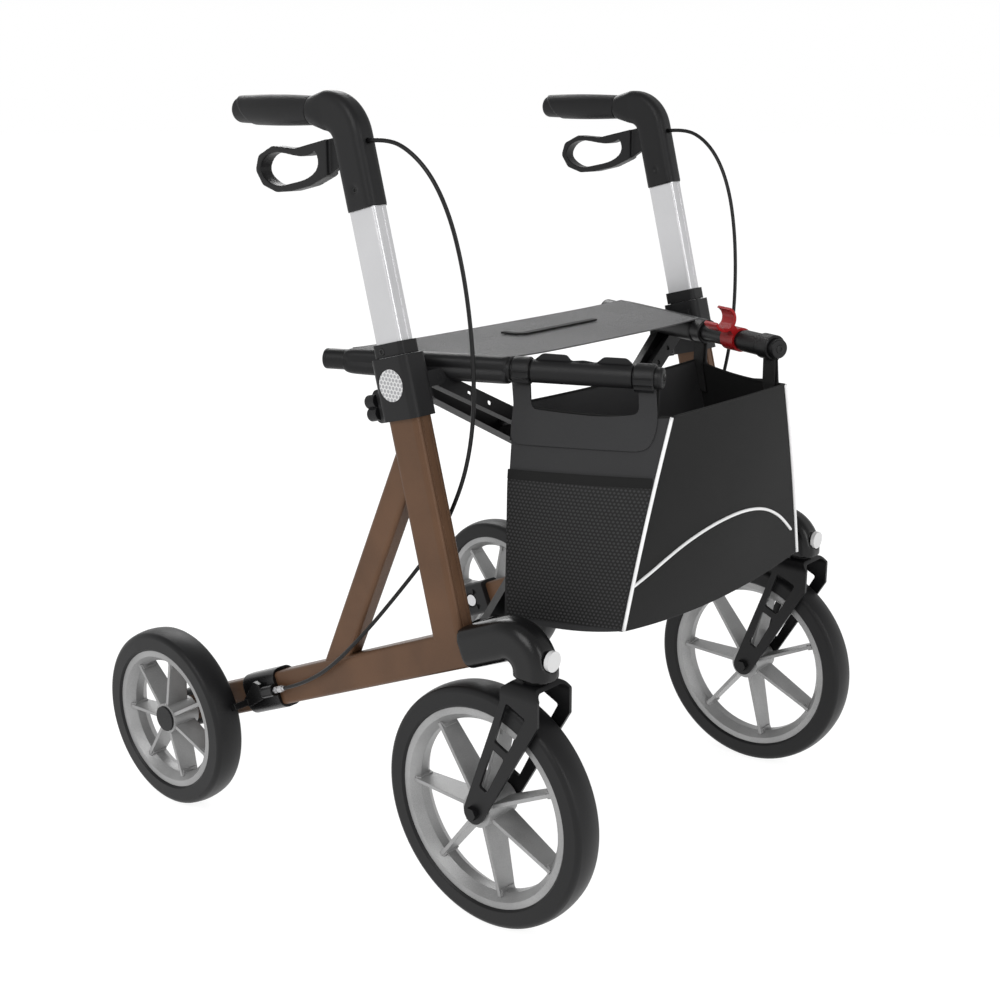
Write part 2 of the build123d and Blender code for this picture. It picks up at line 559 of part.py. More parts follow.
def rim(radius, wall, x, phase, hub_out=HUB_HALF):
    """Rim, hub and blade spokes; radius is the tyre's, wall the depth of rubber outside the rim."""
    edge = radius - wall
    seat, bottom, half = edge - RIM_SEAT, edge - RIM_DEPTH, RIM_W / 2
    ring = wheel_profile([(-half, edge), (-half + 3, edge), (-half + 5, seat), (half - 5, seat),
                          (half - 3, edge), (half, edge), (half, edge - 8), (6, bottom),
                          (-6, bottom), (-half, edge - 8)])
    hub = extrude(Plane.YZ.offset(-hub_out) * Circle(HUB_R), hub_out + HUB_HALF)
    root_out = min(SPOKE_HUB_W / 2, hub_out - 1)
    blade = Plane.XY * Polygon((-root_out, HUB_R - 4), (SPOKE_HUB_W / 2, HUB_R - 4),
                               (SPOKE_RIM_W / 2, bottom + 4), (-SPOKE_RIM_W / 2, bottom + 4), align=None)
    spoke = extrude(blade, SPOKE_T / 2, both=True)
    foot = Polygon((-10, bottom - 4), (10, bottom - 4), (12, bottom + 3), (-12, bottom + 3), align=None)
    spoke += extrude(Plane.XY * foot, SPOKE_T * 0.9, both=True)
    wheel = ring + hub
    for n in range(SPOKES):
        # A spoke drawn along +Y is turned about X; the phase is measured from +Y towards +Z.
        wheel += Rot(phase + n * 360 / SPOKES, 0, 0) * spoke
    for side in (-1, 1):
        end = -hub_out if side < 0 else HUB_HALF
        wheel -= extrude(Plane.YZ.offset(end) * Circle(BEARING_R), -side * (BEARING_W + 1))
    wheel -= extrude(Plane.YZ.offset(-hub_out) * Circle(BEARING_R - 4), hub_out + HUB_HALF)
    return largest(Pos(x, 0, 0) * wheel)


def tyre(radius, wall):
    edge, half, flank = radius - wall, RIM_W / 2, TYRE_W / 2
    seat = edge - RIM_SEAT
    shoulder, crown = radius - 8, radius - 1.8
    line = Polyline((0, seat), (half - 5, seat), (half - 3, edge), (half, edge), (flank, edge + 2.5),
                    (flank, shoulder))
    line += ThreePointArc((flank, shoulder), (flank - 1.6, radius - 4.2), (flank - 5.5, crown))
    line += ThreePointArc((flank - 5.5, crown), (0, radius), (-flank + 5.5, crown))
    line += ThreePointArc((-flank + 5.5, crown), (-flank + 1.6, radius - 4.2), (-flank, shoulder))
    line += Polyline((-flank, shoulder), (-flank, edge + 2.5), (-half, edge), (-half + 3, edge),
                     (-half + 5, seat), (0, seat))
    return revolve(make_face(Plane.XY * line), axis=Axis.X)


def bearings(axle_r, ends):
    """Ball bearings, one let into each end of the hub, facing outwards."""
    group = []
    for end, side in ends:
        ring = Circle(BEARING_R) - Circle(axle_r + RUNNING)
        group.append(extrude(Plane.YZ.offset(end - side * (BEARING_W + 1)) * ring, side * BEARING_W))
    return Compound(children=group)


# --- rear axle and brake -----------------------------------------------------------------------
REAR_HUB_IN = -REAR_TRACK_X + HUB_HALF  # inner end of the rear hub


def rear_axle():
    rail_out, rail_in = -FRAME_X - RAIL_W / 2, -FRAME_X + RAIL_W / 2
    axle = x_rod(WHEELBASE, REAR_HUB_Z, REAR_AXLE_R, -REAR_TRACK_X - REAR_HUB_OUT + 4, rail_in + 9)
    axle += x_rod(WHEELBASE, REAR_HUB_Z, REAR_AXLE_R + 4, REAR_HUB_IN + 1, rail_out)
    axle += x_rod(WHEELBASE, REAR_HUB_Z, REAR_AXLE_R + 3.5, rail_in + 5, rail_in + 10)
    return axle


def axle_block():
    """Black end fitting that wraps the rear end of the rail on its inner side."""
    rear, front = -RAIL_REAR - 7, RAIL_REAR + 8
    block = side_bar(rail_point(rear), rail_point(front), RAIL_H + 8, RAIL_W + 10, 6, -FRAME_X + 5)
    block &= slab(Pos(*rail_point(0)) * Circle(2 * RAIL_H), -FRAME_X - RAIL_W / 2, 0)
    block -= rail()
    y, z = rail_point(0)
    inner = -FRAME_X + 5 + (RAIL_W + 10) / 2
    for n in range(4):
        angle = radians(45 + 90 * n - RAIL_SLOPE)
        spot = Pos(y + 17 * cos(angle), z + 17 * sin(angle)) * Rot(0, 0, degrees(angle) + 90)
        block -= slab(spot * Triangle(a=11, b=11, c=11), inner - 3, inner + 1)
    block -= x_rod(y, z, REAR_AXLE_R + 6, inner - 4, inner + 1)
    return largest(block - rear_axle())


def shoe_outline():
    """Side view of the pointed brake shoe, along the line from the housing to the tyre."""
    tip_from_hub = REAR_R + SHOE_TRAVEL + SHOE_GAP
    base = BRAKE_FROM + 0.66 * BRAKE_LENGTH
    points = [(tip_from_hub, -9), (tip_from_hub + 3, -3), (BRAKE_FROM + 34, 17), (base, 12), (base, -7),
              (BRAKE_FROM + 12, -13)]
    return Polygon(*[rail_point(*p) for p in points], align=None)


SHOE_X = -FRAME_X - RAIL_W / 2 - BRAKE_WALL - FREE  # inner face of the shoe


def brake_shoe():
    shoe = slab(shoe_outline(), SHOE_X - 7, SHOE_X)
    tip_y, tip_z = rail_point(REAR_R + SHOE_TRAVEL + SHOE_GAP + 5, -7)
    pad = slab(Pos(tip_y, tip_z) * Rot(0, 0, -RAIL_SLOPE) * Rectangle(10, 8), SHOE_X - SHOE_W - 8, SHOE_X)
    return shoe + pad + shoe_tongue(0)


def shoe_tongue(grow):
    """Key on the shoe's inner face that slides in a groove of the housing."""
    start = rail_point(BRAKE_FROM + 12 - (SHOE_TRAVEL + 1 if grow else 0))
    end = rail_point(BRAKE_FROM + 0.62 * BRAKE_LENGTH)
    depth = 2.5
    return side_bar(start, end, 6 + 2 * grow, depth + 2 * grow, 0.8, SHOE_X + depth / 2 - 0.3)


def brake_housing():
    ends = BRAKE_FROM, BRAKE_FROM + BRAKE_LENGTH
    body = side_bar(*map(rail_point, ends), RAIL_H + 2 * BRAKE_WALL, RAIL_W + 2 * BRAKE_WALL, 14)
    nose = side_bar(rail_point(ends[1] - 26, 1), rail_point(ends[1] + 4, 1), 15, 13, 6,
                    SHOE_X - 5)
    keep = side_bar(rail_point(ends[1] - 18, 1), rail_point(ends[1] + 5, 1), 30, 40, 6, SHOE_X - 12)
    body += nose & keep
    body = body - rail() - shoe_tongue(FREE)
    return largest(body - adjuster(hollow=False))


def adjuster(hollow=True):
    """Threaded cable adjuster that screws into the brake housing's nose."""
    end = BRAKE_FROM + BRAKE_LENGTH
    x = SHOE_X - 5
    plane = Plane(origin=(x, *rail_point(end - 6, 1)), x_dir=(1, 0, 0), z_dir=(0, -cos(slope), sin(slope)))
    body = extrude(plane * Circle(ADJUSTER_R - 1.6), ADJUSTER_LENGTH + 6)
    body += extrude(plane.offset(12) * RegularPolygon(ADJUSTER_R, 6), 5)
    body += extrude(plane.offset(20) * Circle(ADJUSTER_R - 0.4), 8)
    if hollow:
        body -= extrude(plane * Circle(1.0), ADJUSTER_LENGTH + 6)
    return body


# Route of the cable on the right side, from the handle to the adjuster: x is measured from the
# side frame's middle plane (positive inboard), y and z from the front hub's axis and the floor.
CABLE_ROUTE = [
    (0, 171.5, 871.0), (1, 143, 873.5), (3, 112, 862), (7, 84, 836), (11, 63, 796), (15, 50, 746),
    (19, 43, 690), (23, 41, 630), (27, 46, 570), (29, 60, 512), (28, 82, 462), (22, 103, 420),
    (9, 124, 386), (-5, 146, 352), (-14, 170, 320), (-20, 196, 290), (-22.5, 226, 260), (-23, 258, 234),
]


def cable_points():
    start = [Vector(-FRAME_X + x, y, z) for x, y, z in CABLE_ROUTE]
    end = BRAKE_FROM + BRAKE_LENGTH - 6 + ADJUSTER_LENGTH + 6
    x = SHOE_X - 5
    last = [Vector(x, *rail_point(end + 26, 1)), Vector(x, *rail_point(end, 1))]
    return start + last


def corner_radii(points):
    """For each corner: 0.45 of the shorter run over the tangent of half the turn."""
    radii = []
    for before, here, after in zip(points, points[1:], points[2:]):
        turn = radians((here - before).get_angle(after - here))
        radii.append(0.45 * min((here - before).length, (after - here).length) / tan(turn / 2))
    return radii


def cable_tube(radius, inside=0.0):
    """The brake cable; inside makes its first run reach into the handle."""
    points = cable_points()
    if inside:
        points[0] = points[0] + (points[0] - points[1]).normalized() * inside
    line = FilletPolyline(*points, radius=corner_radii(points))
    start = Plane(origin=points[0], z_dir=points[1] - points[0])
    return sweep(start * Circle(radius), path=line)


# --- cross frame -----------------------------------------------------------------------------
def seat_tube(radius=SEAT_TUBE_R, x_side=-1):
    """One seat tube; x_side -1 is the right one, carried by bar b."""
    front = Vector(x_side * SEAT_TUBE_FRONT_X, SEAT_TUBE_FRONT_Y, SEAT_TUBE_Z)
    run_y = SEAT_TUBE_REAR_Y - SEAT_TUBE_FRONT_Y
    run = Vector(x_side * run_y * tan(splay), run_y, 0)
    return extrude(Plane(origin=front, z_dir=run) * Circle(radius), run.length)


def tube_caps(x_side):
    front = Vector(x_side * SEAT_TUBE_FRONT_X, SEAT_TUBE_FRONT_Y, SEAT_TUBE_Z)
    run_y = SEAT_TUBE_REAR_Y - SEAT_TUBE_FRONT_Y
    run = Vector(x_side * run_y * tan(splay), run_y, 0)
    group = []
    for point, way in ((front, run * -1), (front + run, run)):
        plane = Plane(origin=point, z_dir=way)
        cap = extrude(plane * Circle(SEAT_TUBE_R), TUBE_CAP_T)
        cap += extrude(plane * Circle(SEAT_TUBE_R - WALL), -12)
        cap = fillet(cap.edges().filter_by(GeomType.CIRCLE).sort_by(Axis(point, way))[-1], 2.5)
        group.append(cap)
    return Compound(children=group)


def cross_bar(x_side):
    """Bar with its seat tube. x_side +1 is bar a, hinged on the right and carrying the left tube."""
    near, far = bar_layer(x_side) - BAR_T / 2, bar_layer(x_side) + BAR_T / 2
    span = 2 * HINGE_X

    def at(x):
        return x if x_side > 0 else span - x

    join_x, join_up = HINGE_X + SEAT_JOIN_X, SEAT_UP
    reach = BAR_L + (join_x - HINGE_X) * cos(BAR_ANGLE) + (join_up - CROSS_UP) * sin(BAR_ANGLE)
    reach -= BAR_W
    end = (at(reach * cos(BAR_ANGLE)), reach * sin(BAR_ANGLE))
    foot = (at(0), 0)
    bar = plate(stadium(foot, end, BAR_W / 2), near, far)
    bar += plate(stadium(end, (at(join_x), join_up), SEAT_TUBE_R - 1), near, far)
    hollow_from, hollow_to = 30.0, reach - 20.0
    inner = [(at(s * cos(BAR_ANGLE)), s * sin(BAR_ANGLE)) for s in (hollow_from, BAR_L - 16)]
    upper = [(at(s * cos(BAR_ANGLE)), s * sin(BAR_ANGLE)) for s in (BAR_L + 16, hollow_to)]
    for ends in (inner, upper):
        bar -= plate(stadium(*ends, BAR_W / 2 - BAR_WALL), near + BAR_WALL, far - BAR_WALL)
    bar = split(bar, bisect_by=Plane.XY.offset(SEAT_TUBE_Z + SEAT_TUBE_R - 1), keep=Keep.BOTTOM)
    bar += seat_tube(x_side=x_side)
    bar -= seat_tube(SEAT_TUBE_R - WALL, x_side)
    bar -= pin(at(0), 0, HINGE_R + RUNNING, near - 1, far + 1)
    fit = 0.0 if x_side > 0 else RUNNING
    bar -= pin(HINGE_X, CROSS_UP, HINGE_R + fit, near - 1, far + 1)
    return largest(bar)


def cross_pivot():
    """Bolt through both bars where they cross."""
    body = pin(HINGE_X, CROSS_UP, HINGE_R, -BAR_T - BAR_GAP / 2 - WASHER_GAP, BAR_T + BAR_GAP / 2)
    head = plate(sketch_at(HINGE_X, CROSS_UP) * Circle(9), BAR_T + BAR_GAP / 2, BAR_T + BAR_GAP / 2 + 4)
    back = -BAR_T - BAR_GAP / 2 - WASHER_GAP
    nut = plate(sketch_at(HINGE_X, CROSS_UP) * RegularPolygon(8, 6), back - 5, back)
    return body + head + nut


def link(x_side):
    """Channel link from the clamp housing's bracket to a bar. x_side -1 is the right link."""
    def at(point):
        return point if x_side < 0 else (2 * HINGE_X - point[0], point[1])

    start, end = at(ANCHOR), at(LINK_END)
    near, far = LINK_LAYER - LINK_T / 2, LINK_LAYER + LINK_T / 2
    body = plate(stadium(start, end, LINK_W / 2), near, far)
    share = [(start[0] + (end[0] - start[0]) * s, start[1] + (end[1] - start[1]) * s)
             for s in (0.13, 0.9, 0.38, 0.62)]
    body -= plate(stadium(share[0], share[1], LINK_W / 2 - LINK_WALL), near - 1, far - LINK_WALL)
    for hole in share[2:]:
        body -= pin(*hole, 3.2, near - 1, far + 1)
    bar_face = BAR_GAP / 2 + BAR_T if x_side > 0 else -BAR_GAP / 2
    body += pin(*end, LINK_PIN_R + 1, bar_face + WASHER_GAP, near + 1)
    ear = LINK_T / 2 + WASHER_GAP + LUG_T
    body += pin(*start, LINK_W / 2, near, far)
    body += pin(*start, LINK_PIN_R, LINK_LAYER - ear, LINK_LAYER + ear)
    return largest(body)


def fold_clip():
    """Clip on the left seat tube whose jaws grip the right tube when the frame is folded."""
    front = Vector(SEAT_TUBE_FRONT_X, SEAT_TUBE_FRONT_Y, SEAT_TUBE_Z)
    run = Vector(sin(splay), cos(splay), 0)
    middle = front + run * ((CLIP_Y - SEAT_TUBE_FRONT_Y) / cos(splay))
    plane = Plane(origin=middle - run * (CLIP_LENGTH / 2), x_dir=(cos(splay), -sin(splay), 0), z_dir=run)
    gap = folded_tube_gap()
    way = plane.to_local_coords(plane.origin + to_folded_tube())
    facing = Rot(0, 0, degrees(atan2(way.Y, way.X)))
    grip_at = facing * Pos(2 * SEAT_TUBE_R + gap, 0)
    ring = Circle(SEAT_TUBE_R + CLIP_WALL) - Circle(SEAT_TUBE_R)
    neck = facing * Pos(SEAT_TUBE_R + gap / 2, 0) * Rectangle(gap, 9)
    jaw = Circle(SEAT_TUBE_R + 0.6 + CLIP_WALL) - Circle(SEAT_TUBE_R + 0.6)
    jaw -= Pos(SEAT_TUBE_R + 6, 0) * Rectangle(2 * SEAT_TUBE_R, 3 * SEAT_TUBE_R)
    shape = ring + neck + grip_at * jaw - Circle(SEAT_TUBE_R)
    return largest(extrude(plane * shape, CLIP_LENGTH))


def to_folded_tube():
    """Way from the left seat tube to the right one when folded, turned back as the left one opens."""
    return Vector(-1, 0, 0).rotate(Axis((0, 0, 0), FOLD_AXIS), -degrees(FOLD_RANGE))


def folded_tube_gap():
    """Free space between the two seat tubes when the frame is folded."""
    arm = hypot(SEAT_JOIN_X, SEAT_UP - CROSS_UP)
    angle = atan2(SEAT_UP - CROSS_UP, SEAT_JOIN_X) + FOLD_RANGE
    return 2 * arm * cos(angle) - 2 * SEAT_TUBE_R


# --- seat and bag ------------------------------------------------------------------------------
def tube_x(y):
    """Half the distance between the seat tubes' middle lines at y."""
    return SEAT_TUBE_FRONT_X + (y - SEAT_TUBE_FRONT_Y) * tan(splay)


def seat():
    front, rear = tube_x(SEAT_FRONT_Y) + SEAT_OVER, tube_x(SEAT_REAR_Y) + SEAT_OVER
    outline = Polygon((-front, SEAT_FRONT_Y), (front, SEAT_FRONT_Y), (rear, SEAT_REAR_Y),
                      (-rear, SEAT_REAR_Y), align=None)
    return extrude(Plane.XY.offset(SEAT_TUBE_Z + SEAT_TUBE_R + FREE) * outline, SEAT_T)


def bag_block(inset, top_z, bottom_z):
    """A block with the bag's flared shape, inset by a wall."""
    def section(corners, z):
        (xf, yf), (xr, yr) = corners
        xf, xr, yf, yr = xf - inset, xr - inset, yf + inset, yr - inset
        return Plane.XY.offset(z) * Polygon((-xf, yf), (xf, yf), (xr, yr), (-xr, yr), align=None)

    return loft([section(BAG_BOTTOM, bottom_z), section(BAG_TOP, top_z)])


def bag():
    inside = bag_block(BAG_WALL, BAG_TOP_Z + 1, BAG_BOTTOM_Z + BAG_WALL)
    shell = bag_block(0, BAG_TOP_Z, BAG_BOTTOM_Z) - inside
    return shell


# --- build -----------------------------------------------------------------------------------
os.makedirs("parts", exist_ok=True)

save_pair("frame", side_frame())
save_pair("clamp_housing", clamp_housing())
cap_zone = slab(Pos(-TRAIL - HEAD_D / 2, CAP_Z) * Rectangle(2 * CAP_T, 4 * CAP_R), -2 * FRAME_X, 0)
save_pair("reflectors", Compound(children=[reflector_disc(), largest(head_cap() & cap_zone)]))
save("right_fork_head", fork_head(1))
save("left_fork_head", mirrored(fork_head(-1)))
save_pair("brake_housing", brake_housing())
save_pair("axle_block", axle_block())
save_pair("rear_axle", rear_axle())
save_pair("brake_cable", cable_tube(CABLE_R))
save_pair("cable_adjuster", adjuster())
save_pair("handle_tube", handle_tube())
save_pair("handle_body", handle_body())
save_pair("grip", grip())
save_pair("stop_collar", stop_collar())
save_pair("brake_lever", brake_lever())
save_pair("clamp_knob", clamp_knob())
save_pair("brake_shoe", brake_shoe())
save_pair("fork", fork())
save_pair("front_axle", front_axle())
FRONT_PLACE = Pos(0, 0, FRONT_HUB_Z)
save_pair("front_rim", FRONT_PLACE * rim(FRONT_R, TYRE_WALL_FRONT, -FRAME_X, FRONT_SPOKE_PHASE))
save_pair("front_tyre", FRONT_PLACE * Pos(-FRAME_X, 0, 0) * tyre(FRONT_R, TYRE_WALL_FRONT))
save_pair("front_bearings", FRONT_PLACE * Pos(-FRAME_X, 0, 0) * bearings(
    FRONT_AXLE_R, ((-HUB_HALF, -1), (HUB_HALF, 1))))
REAR_PLACE = Pos(0, WHEELBASE, REAR_HUB_Z)
save_pair("rear_rim", REAR_PLACE * rim(REAR_R, TYRE_WALL_REAR, -REAR_TRACK_X,
                                      REAR_SPOKE_PHASE, REAR_HUB_OUT))
save_pair("rear_tyre", REAR_PLACE * Pos(-REAR_TRACK_X, 0, 0) * tyre(REAR_R, TYRE_WALL_REAR))
save_pair("rear_bearings", REAR_PLACE * Pos(-REAR_TRACK_X, 0, 0) * bearings(
    REAR_AXLE_R, ((-REAR_HUB_OUT, -1), (HUB_HALF, 1))))
save_pair("rear_hub_cap", REAR_PLACE * Pos(-REAR_TRACK_X - REAR_HUB_OUT, 0, 0) * extrude(
    Plane.YZ * Circle(HUB_R - 3), -HUB_CAP_T))
save("cross_bar_a", cross_bar(1))
save("cross_bar_b", cross_bar(-1))
save("cross_pivot", cross_pivot())
save("seat_tube_caps_a", tube_caps(1))
save("seat_tube_caps_b", tube_caps(-1))
save("right_link", link(-1))
save("left_link", link(1))
save("fold_clip", fold_clip())
save("seat", seat())
save("bag", bag())

radii = corner_radii(cable_points())
print("cable arc radii", [round(r) for r in radii])
cable = written["right_brake_cable"]
route = FilletPolyline(*cable_points(), radius=radii)
print("cable volume", round(cable.volume), "section x length", round(pi * CABLE_R**2 * route.length),
      "length", round(route.length))
print("fold range", round(degrees(FOLD_RANGE), 3), "link reach", round(LINK_REACH, 2))
print("folded tube gap", round(folded_tube_gap(), 1))
for label, point in (("hinge", HINGE), ("cross", in_plane(HINGE_X, CROSS_UP)),
                     ("right seat join", in_plane(HINGE_X - SEAT_JOIN_X, SEAT_UP)),
                     ("link anchor", in_plane(*ANCHOR, LINK_LAYER)),
                     ("link end", in_plane(*LINK_END, LINK_LAYER))):
    print(label, [round(c, 3) for c in (point + Vector(0, SHIFT_Y, SHIFT_Z))])
print("fold axis", [round(c, 6) for c in FOLD_AXIS])
print("lever pivot", lever_pivot()[0] + SHIFT_Y, lever_pivot()[1] + SHIFT_Z)
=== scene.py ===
# %% [markdown]
# # A folding rollator, dressed for the camera
# The drawing of the frame, wheels, handles and brakes is finished and is only loaded here. What is
# left to make is what a drawing can't hold: the cloth of the seat and the bag, the cables with their
# real sag, the soft roundness of moulded parts, and a finish for every surface.

# %% Load the frame
from math import cos, pi, radians, sin, sqrt, tan

import bmesh
import bpy
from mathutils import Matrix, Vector


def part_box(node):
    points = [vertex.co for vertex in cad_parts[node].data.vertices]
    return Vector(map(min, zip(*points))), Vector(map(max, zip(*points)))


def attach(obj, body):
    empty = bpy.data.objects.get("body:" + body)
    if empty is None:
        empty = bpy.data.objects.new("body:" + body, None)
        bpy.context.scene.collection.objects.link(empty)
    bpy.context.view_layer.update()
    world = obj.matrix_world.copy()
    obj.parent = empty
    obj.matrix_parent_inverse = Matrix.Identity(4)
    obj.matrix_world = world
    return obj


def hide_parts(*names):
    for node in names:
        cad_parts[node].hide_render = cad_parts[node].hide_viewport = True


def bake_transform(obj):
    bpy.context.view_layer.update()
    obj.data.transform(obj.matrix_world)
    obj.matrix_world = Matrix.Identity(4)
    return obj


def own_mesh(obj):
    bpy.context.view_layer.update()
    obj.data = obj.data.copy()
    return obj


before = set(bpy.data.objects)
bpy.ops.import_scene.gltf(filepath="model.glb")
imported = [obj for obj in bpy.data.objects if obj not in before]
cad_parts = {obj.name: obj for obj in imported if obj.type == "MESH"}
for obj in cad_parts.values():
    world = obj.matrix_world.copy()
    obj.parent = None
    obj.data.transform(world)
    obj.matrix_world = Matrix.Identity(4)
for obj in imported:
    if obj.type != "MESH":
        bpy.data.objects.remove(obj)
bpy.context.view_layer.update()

# %% [markdown]
# ## Measuring in millimetres
# The maker's drawing measures depth from the front hubs and puts their axis 140 mm up. The same
# numbers are used here, in millimetres, and `at` turns such a place into Blender's metres. The sides
# of the rollator mirror each other, so each place is given once, for the right side, at minus X.

# %% Places
MM = 0.001
low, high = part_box("right_front_tyre")
HUB_Y, LIFT = (low.y + high.y) / 2, (low.z + high.z) / 2 - 140 * MM
SIDES = {"right": -1, "left": 1}


def at(x, y, z):
    return Vector((x * MM, HUB_Y + y * MM, LIFT + z * MM))


print("front hubs at", round(HUB_Y, 4), "lifted by", round(LIFT, 4))

# %% [markdown]
# ## Camera
# The camera stands well back with a short telephoto lens, a little above the handles, so that the
# wheels stay round and the near side doesn't loom. The small shift frames the object without tilting
# the lens.

# %% Camera
LOOKS_DOWN, TURNED = 15.04, -49.74
camera_data = bpy.data.cameras.new("camera")
camera_data.lens = 52.07
camera_data.shift_x, camera_data.shift_y = -0.0151, -0.0176
camera = bpy.data.objects.new("camera", camera_data)
camera.location = (-1.4079, -1.2350, 0.9199 + LIFT)
camera.rotation_euler = (radians(90 - LOOKS_DOWN), 0, radians(TURNED))
bpy.context.scene.collection.objects.link(camera)
bpy.context.scene.camera = camera
bpy.context.scene.view_settings.view_transform = "Standard"
print("camera looks down", LOOKS_DOWN, "degrees")

# %% [markdown]
# ## Studio
# Black plastic shows nothing but reflections, so the light matters more than the colour. Large soft
# boxes draw long, even highlights along tubes and round edges. The surrounding is white, and dimmer
# overhead, which keeps the tops of black parts black. The floor glows a little by itself, so that it
# stays white all the way back and only a faint shadow is left under the wheels.


# %% A helper that adds one shader node
def put(tree, kind, values=None, **settings):
    made = tree.nodes.new("ShaderNode" + kind)
    for key, value in settings.items():
        setattr(made, key, value)
    for key, value in (values or {}).items():
        if isinstance(value, bpy.types.NodeSocket):
            tree.links.new(value, made.inputs[key])
        else:
            made.inputs[key].default_value = value
    return made


# %% Surrounding light, floor and soft boxes
world = bpy.data.worlds.new("studio")
bpy.context.scene.world = world
world.use_nodes = True
sky = world.node_tree
direction = put(sky, "TexCoord").outputs["Generated"]
height = put(sky, "SeparateXYZ", {0: direction}).outputs["Z"]
dimming = put(sky, "MapRange", {"Value": height, "From Min": 0.05, "From Max": 0.7,
                                "To Min": 1.0, "To Max": 0.45})
sky.links.new(dimming.outputs["Result"], sky.nodes["Background"].inputs["Strength"])
sky.nodes["Background"].inputs["Color"].default_value = (1, 1, 1, 1)


def soft_box(name, place, target, size, power):
    data = bpy.data.lights.new(name, "AREA")
    data.shape = "RECTANGLE"
    data.size, data.size_y = size
    data.energy = power
    light = bpy.data.objects.new(name, data)
    light.location = place
    light.rotation_euler = (Vector(target) - Vector(place)).to_track_quat("-Z", "Y").to_euler()
    bpy.context.scene.collection.objects.link(light)


soft_box("key", (-2.6, -0.6, 2.6), (0, 0, 0.5), (1.8, 1.8), 42)
soft_box("strip", (-0.4, -3.0, 1.5), (0, 0, 0.5), (0.7, 2.2), 22)
soft_box("rim", (1.6, 2.4, 2.2), (0, 0, 0.5), (1.6, 1.2), 30)

bpy.ops.mesh.primitive_plane_add(size=60, location=(0, 0, 0))
floor = bpy.context.object
floor.name = "floor"
floor_paint = bpy.data.materials.new("floor_paint")
floor_paint.use_nodes = True
floor_shader = floor_paint.node_tree.nodes["Principled BSDF"]
floor_shader.inputs["Base Color"].default_value = (0.25, 0.25, 0.25, 1)
floor_shader.inputs["Roughness"].default_value = 1.0
floor_shader.inputs["Specular IOR Level"].default_value = 0.0
floor_shader.inputs["Emission Color"].default_value = (1, 1, 1, 1)
floor_shader.inputs["Emission Strength"].default_value = 0.9
floor.data.materials.append(floor_paint)
print("lights", len(bpy.data.lights))

# %% [markdown]
# ## One recipe for most finishes
# Moulded, painted and anodised parts differ in colour, gloss and grain, but are made up in the same
# way: a colour that wanders a little, a roughness that wanders with it, a fine grain as bump, and
# edges that catch the light. Real edges are never razor sharp, so the Bevel node rounds the shading
# of each edge by half a millimetre without touching the mesh.


# %% The recipe
def finish(name, colour, rough, metal=0.0, grain=0.0, grain_size=0.6, edge=0.6, uneven=0.12,
           stretch=(1, 1, 1), extra=None):
    """grain is the bump's strength, grain_size and edge are in millimetres."""
    material = bpy.data.materials.new(name)
    material.use_nodes = True
    tree = material.node_tree
    shader = tree.nodes["Principled BSDF"]
    place = put(tree, "TexCoord").outputs["Object"]
    scaled = put(tree, "Mapping", {"Vector": place, "Scale": stretch}).outputs["Vector"]
    cloud = put(tree, "TexNoise", {"Vector": place, "Scale": 14.0, "Detail": 3.0}).outputs["Fac"]
    fine = put(tree, "TexNoise", {"Vector": scaled, "Scale": 1 / (grain_size * MM),
                                  "Detail": 2.0}).outputs["Fac"]
    mixed = put(tree, "Math", {0: cloud, 1: fine}, operation="ADD").outputs[0]
    dark = [c * (1 - uneven) for c in colour]
    light = [c * (1 + uneven) for c in colour]
    shade = put(tree, "Mix", {6: (*dark, 1), 7: (*light, 1)}, data_type="RGBA")
    share = put(tree, "MapRange", {"Value": mixed, "From Min": 0.75, "From Max": 1.25}).outputs["Result"]
    tree.links.new(share, shade.inputs[0])
    tree.links.new(shade.outputs[2], shader.inputs["Base Color"])
    gloss = put(tree, "MapRange", {"Value": cloud, "From Min": 0.3, "From Max": 0.7,
                                   "To Min": rough * 0.9, "To Max": rough * 1.12})
    tree.links.new(gloss.outputs["Result"], shader.inputs["Roughness"])
    shader.inputs["Metallic"].default_value = metal
    rounded = put(tree, "Bevel", {"Radius": edge * MM}, samples=4).outputs["Normal"]
    bump = put(tree, "Bump", {"Height": fine, "Normal": rounded, "Strength": grain, "Distance": 0.0004})
    tree.links.new(bump.outputs["Normal"], shader.inputs["Normal"])
    for socket, value in (extra or {}).items():
        shader.inputs[socket].default_value = value
    return material


BLACK = (0.0065, 0.0065, 0.007)
DULL = {"Specular IOR Level": 0.24}
moulded_black = finish("moulded_black", BLACK, 0.42, grain=0.35, grain_size=0.5, edge=1.2, extra=DULL)
satin_black = finish("satin_black", (0.004, 0.004, 0.0042), 0.25, grain=0.06, grain_size=0.8, edge=1.6,
                     extra={"Specular IOR Level": 0.3})
powder_black = finish("powder_black", (0.006, 0.006, 0.0064), 0.36, grain=0.2, grain_size=0.4, extra=DULL)
soft_grip = finish("soft_grip", (0.007, 0.007, 0.0075), 0.5, grain=0.5, grain_size=0.7, extra=DULL)
tyre_rubber = finish("tyre_rubber", (0.0075, 0.0075, 0.008), 0.42, grain=0.25, grain_size=0.9, edge=1.5,
                     extra=DULL)
rim_silver = finish("rim_silver", (0.3, 0.3, 0.3), 0.4, metal=0.45, grain=0.3, grain_size=0.6,
                    edge=1.0, uneven=0.22)
anodised = finish("anodised_tube", (0.58, 0.58, 0.59), 0.34, metal=0.85, grain=0.12, grain_size=0.35,
                  uneven=0.05)
brown_paint = finish("brown_paint", (0.1, 0.052, 0.028), 0.4, metal=0.2, grain=0.16, grain_size=0.3,
                     uneven=0.22, edge=1.0, extra={"Specular IOR Level": 0.22})
steel = finish("zinc_steel", (0.55, 0.55, 0.56), 0.32, metal=1.0, grain=0.15, stretch=(1, 6, 1))
red_plastic = finish("red_plastic", (0.3, 0.006, 0.008), 0.35, grain=0.15, extra=DULL)

print("finishes", len(bpy.data.materials))

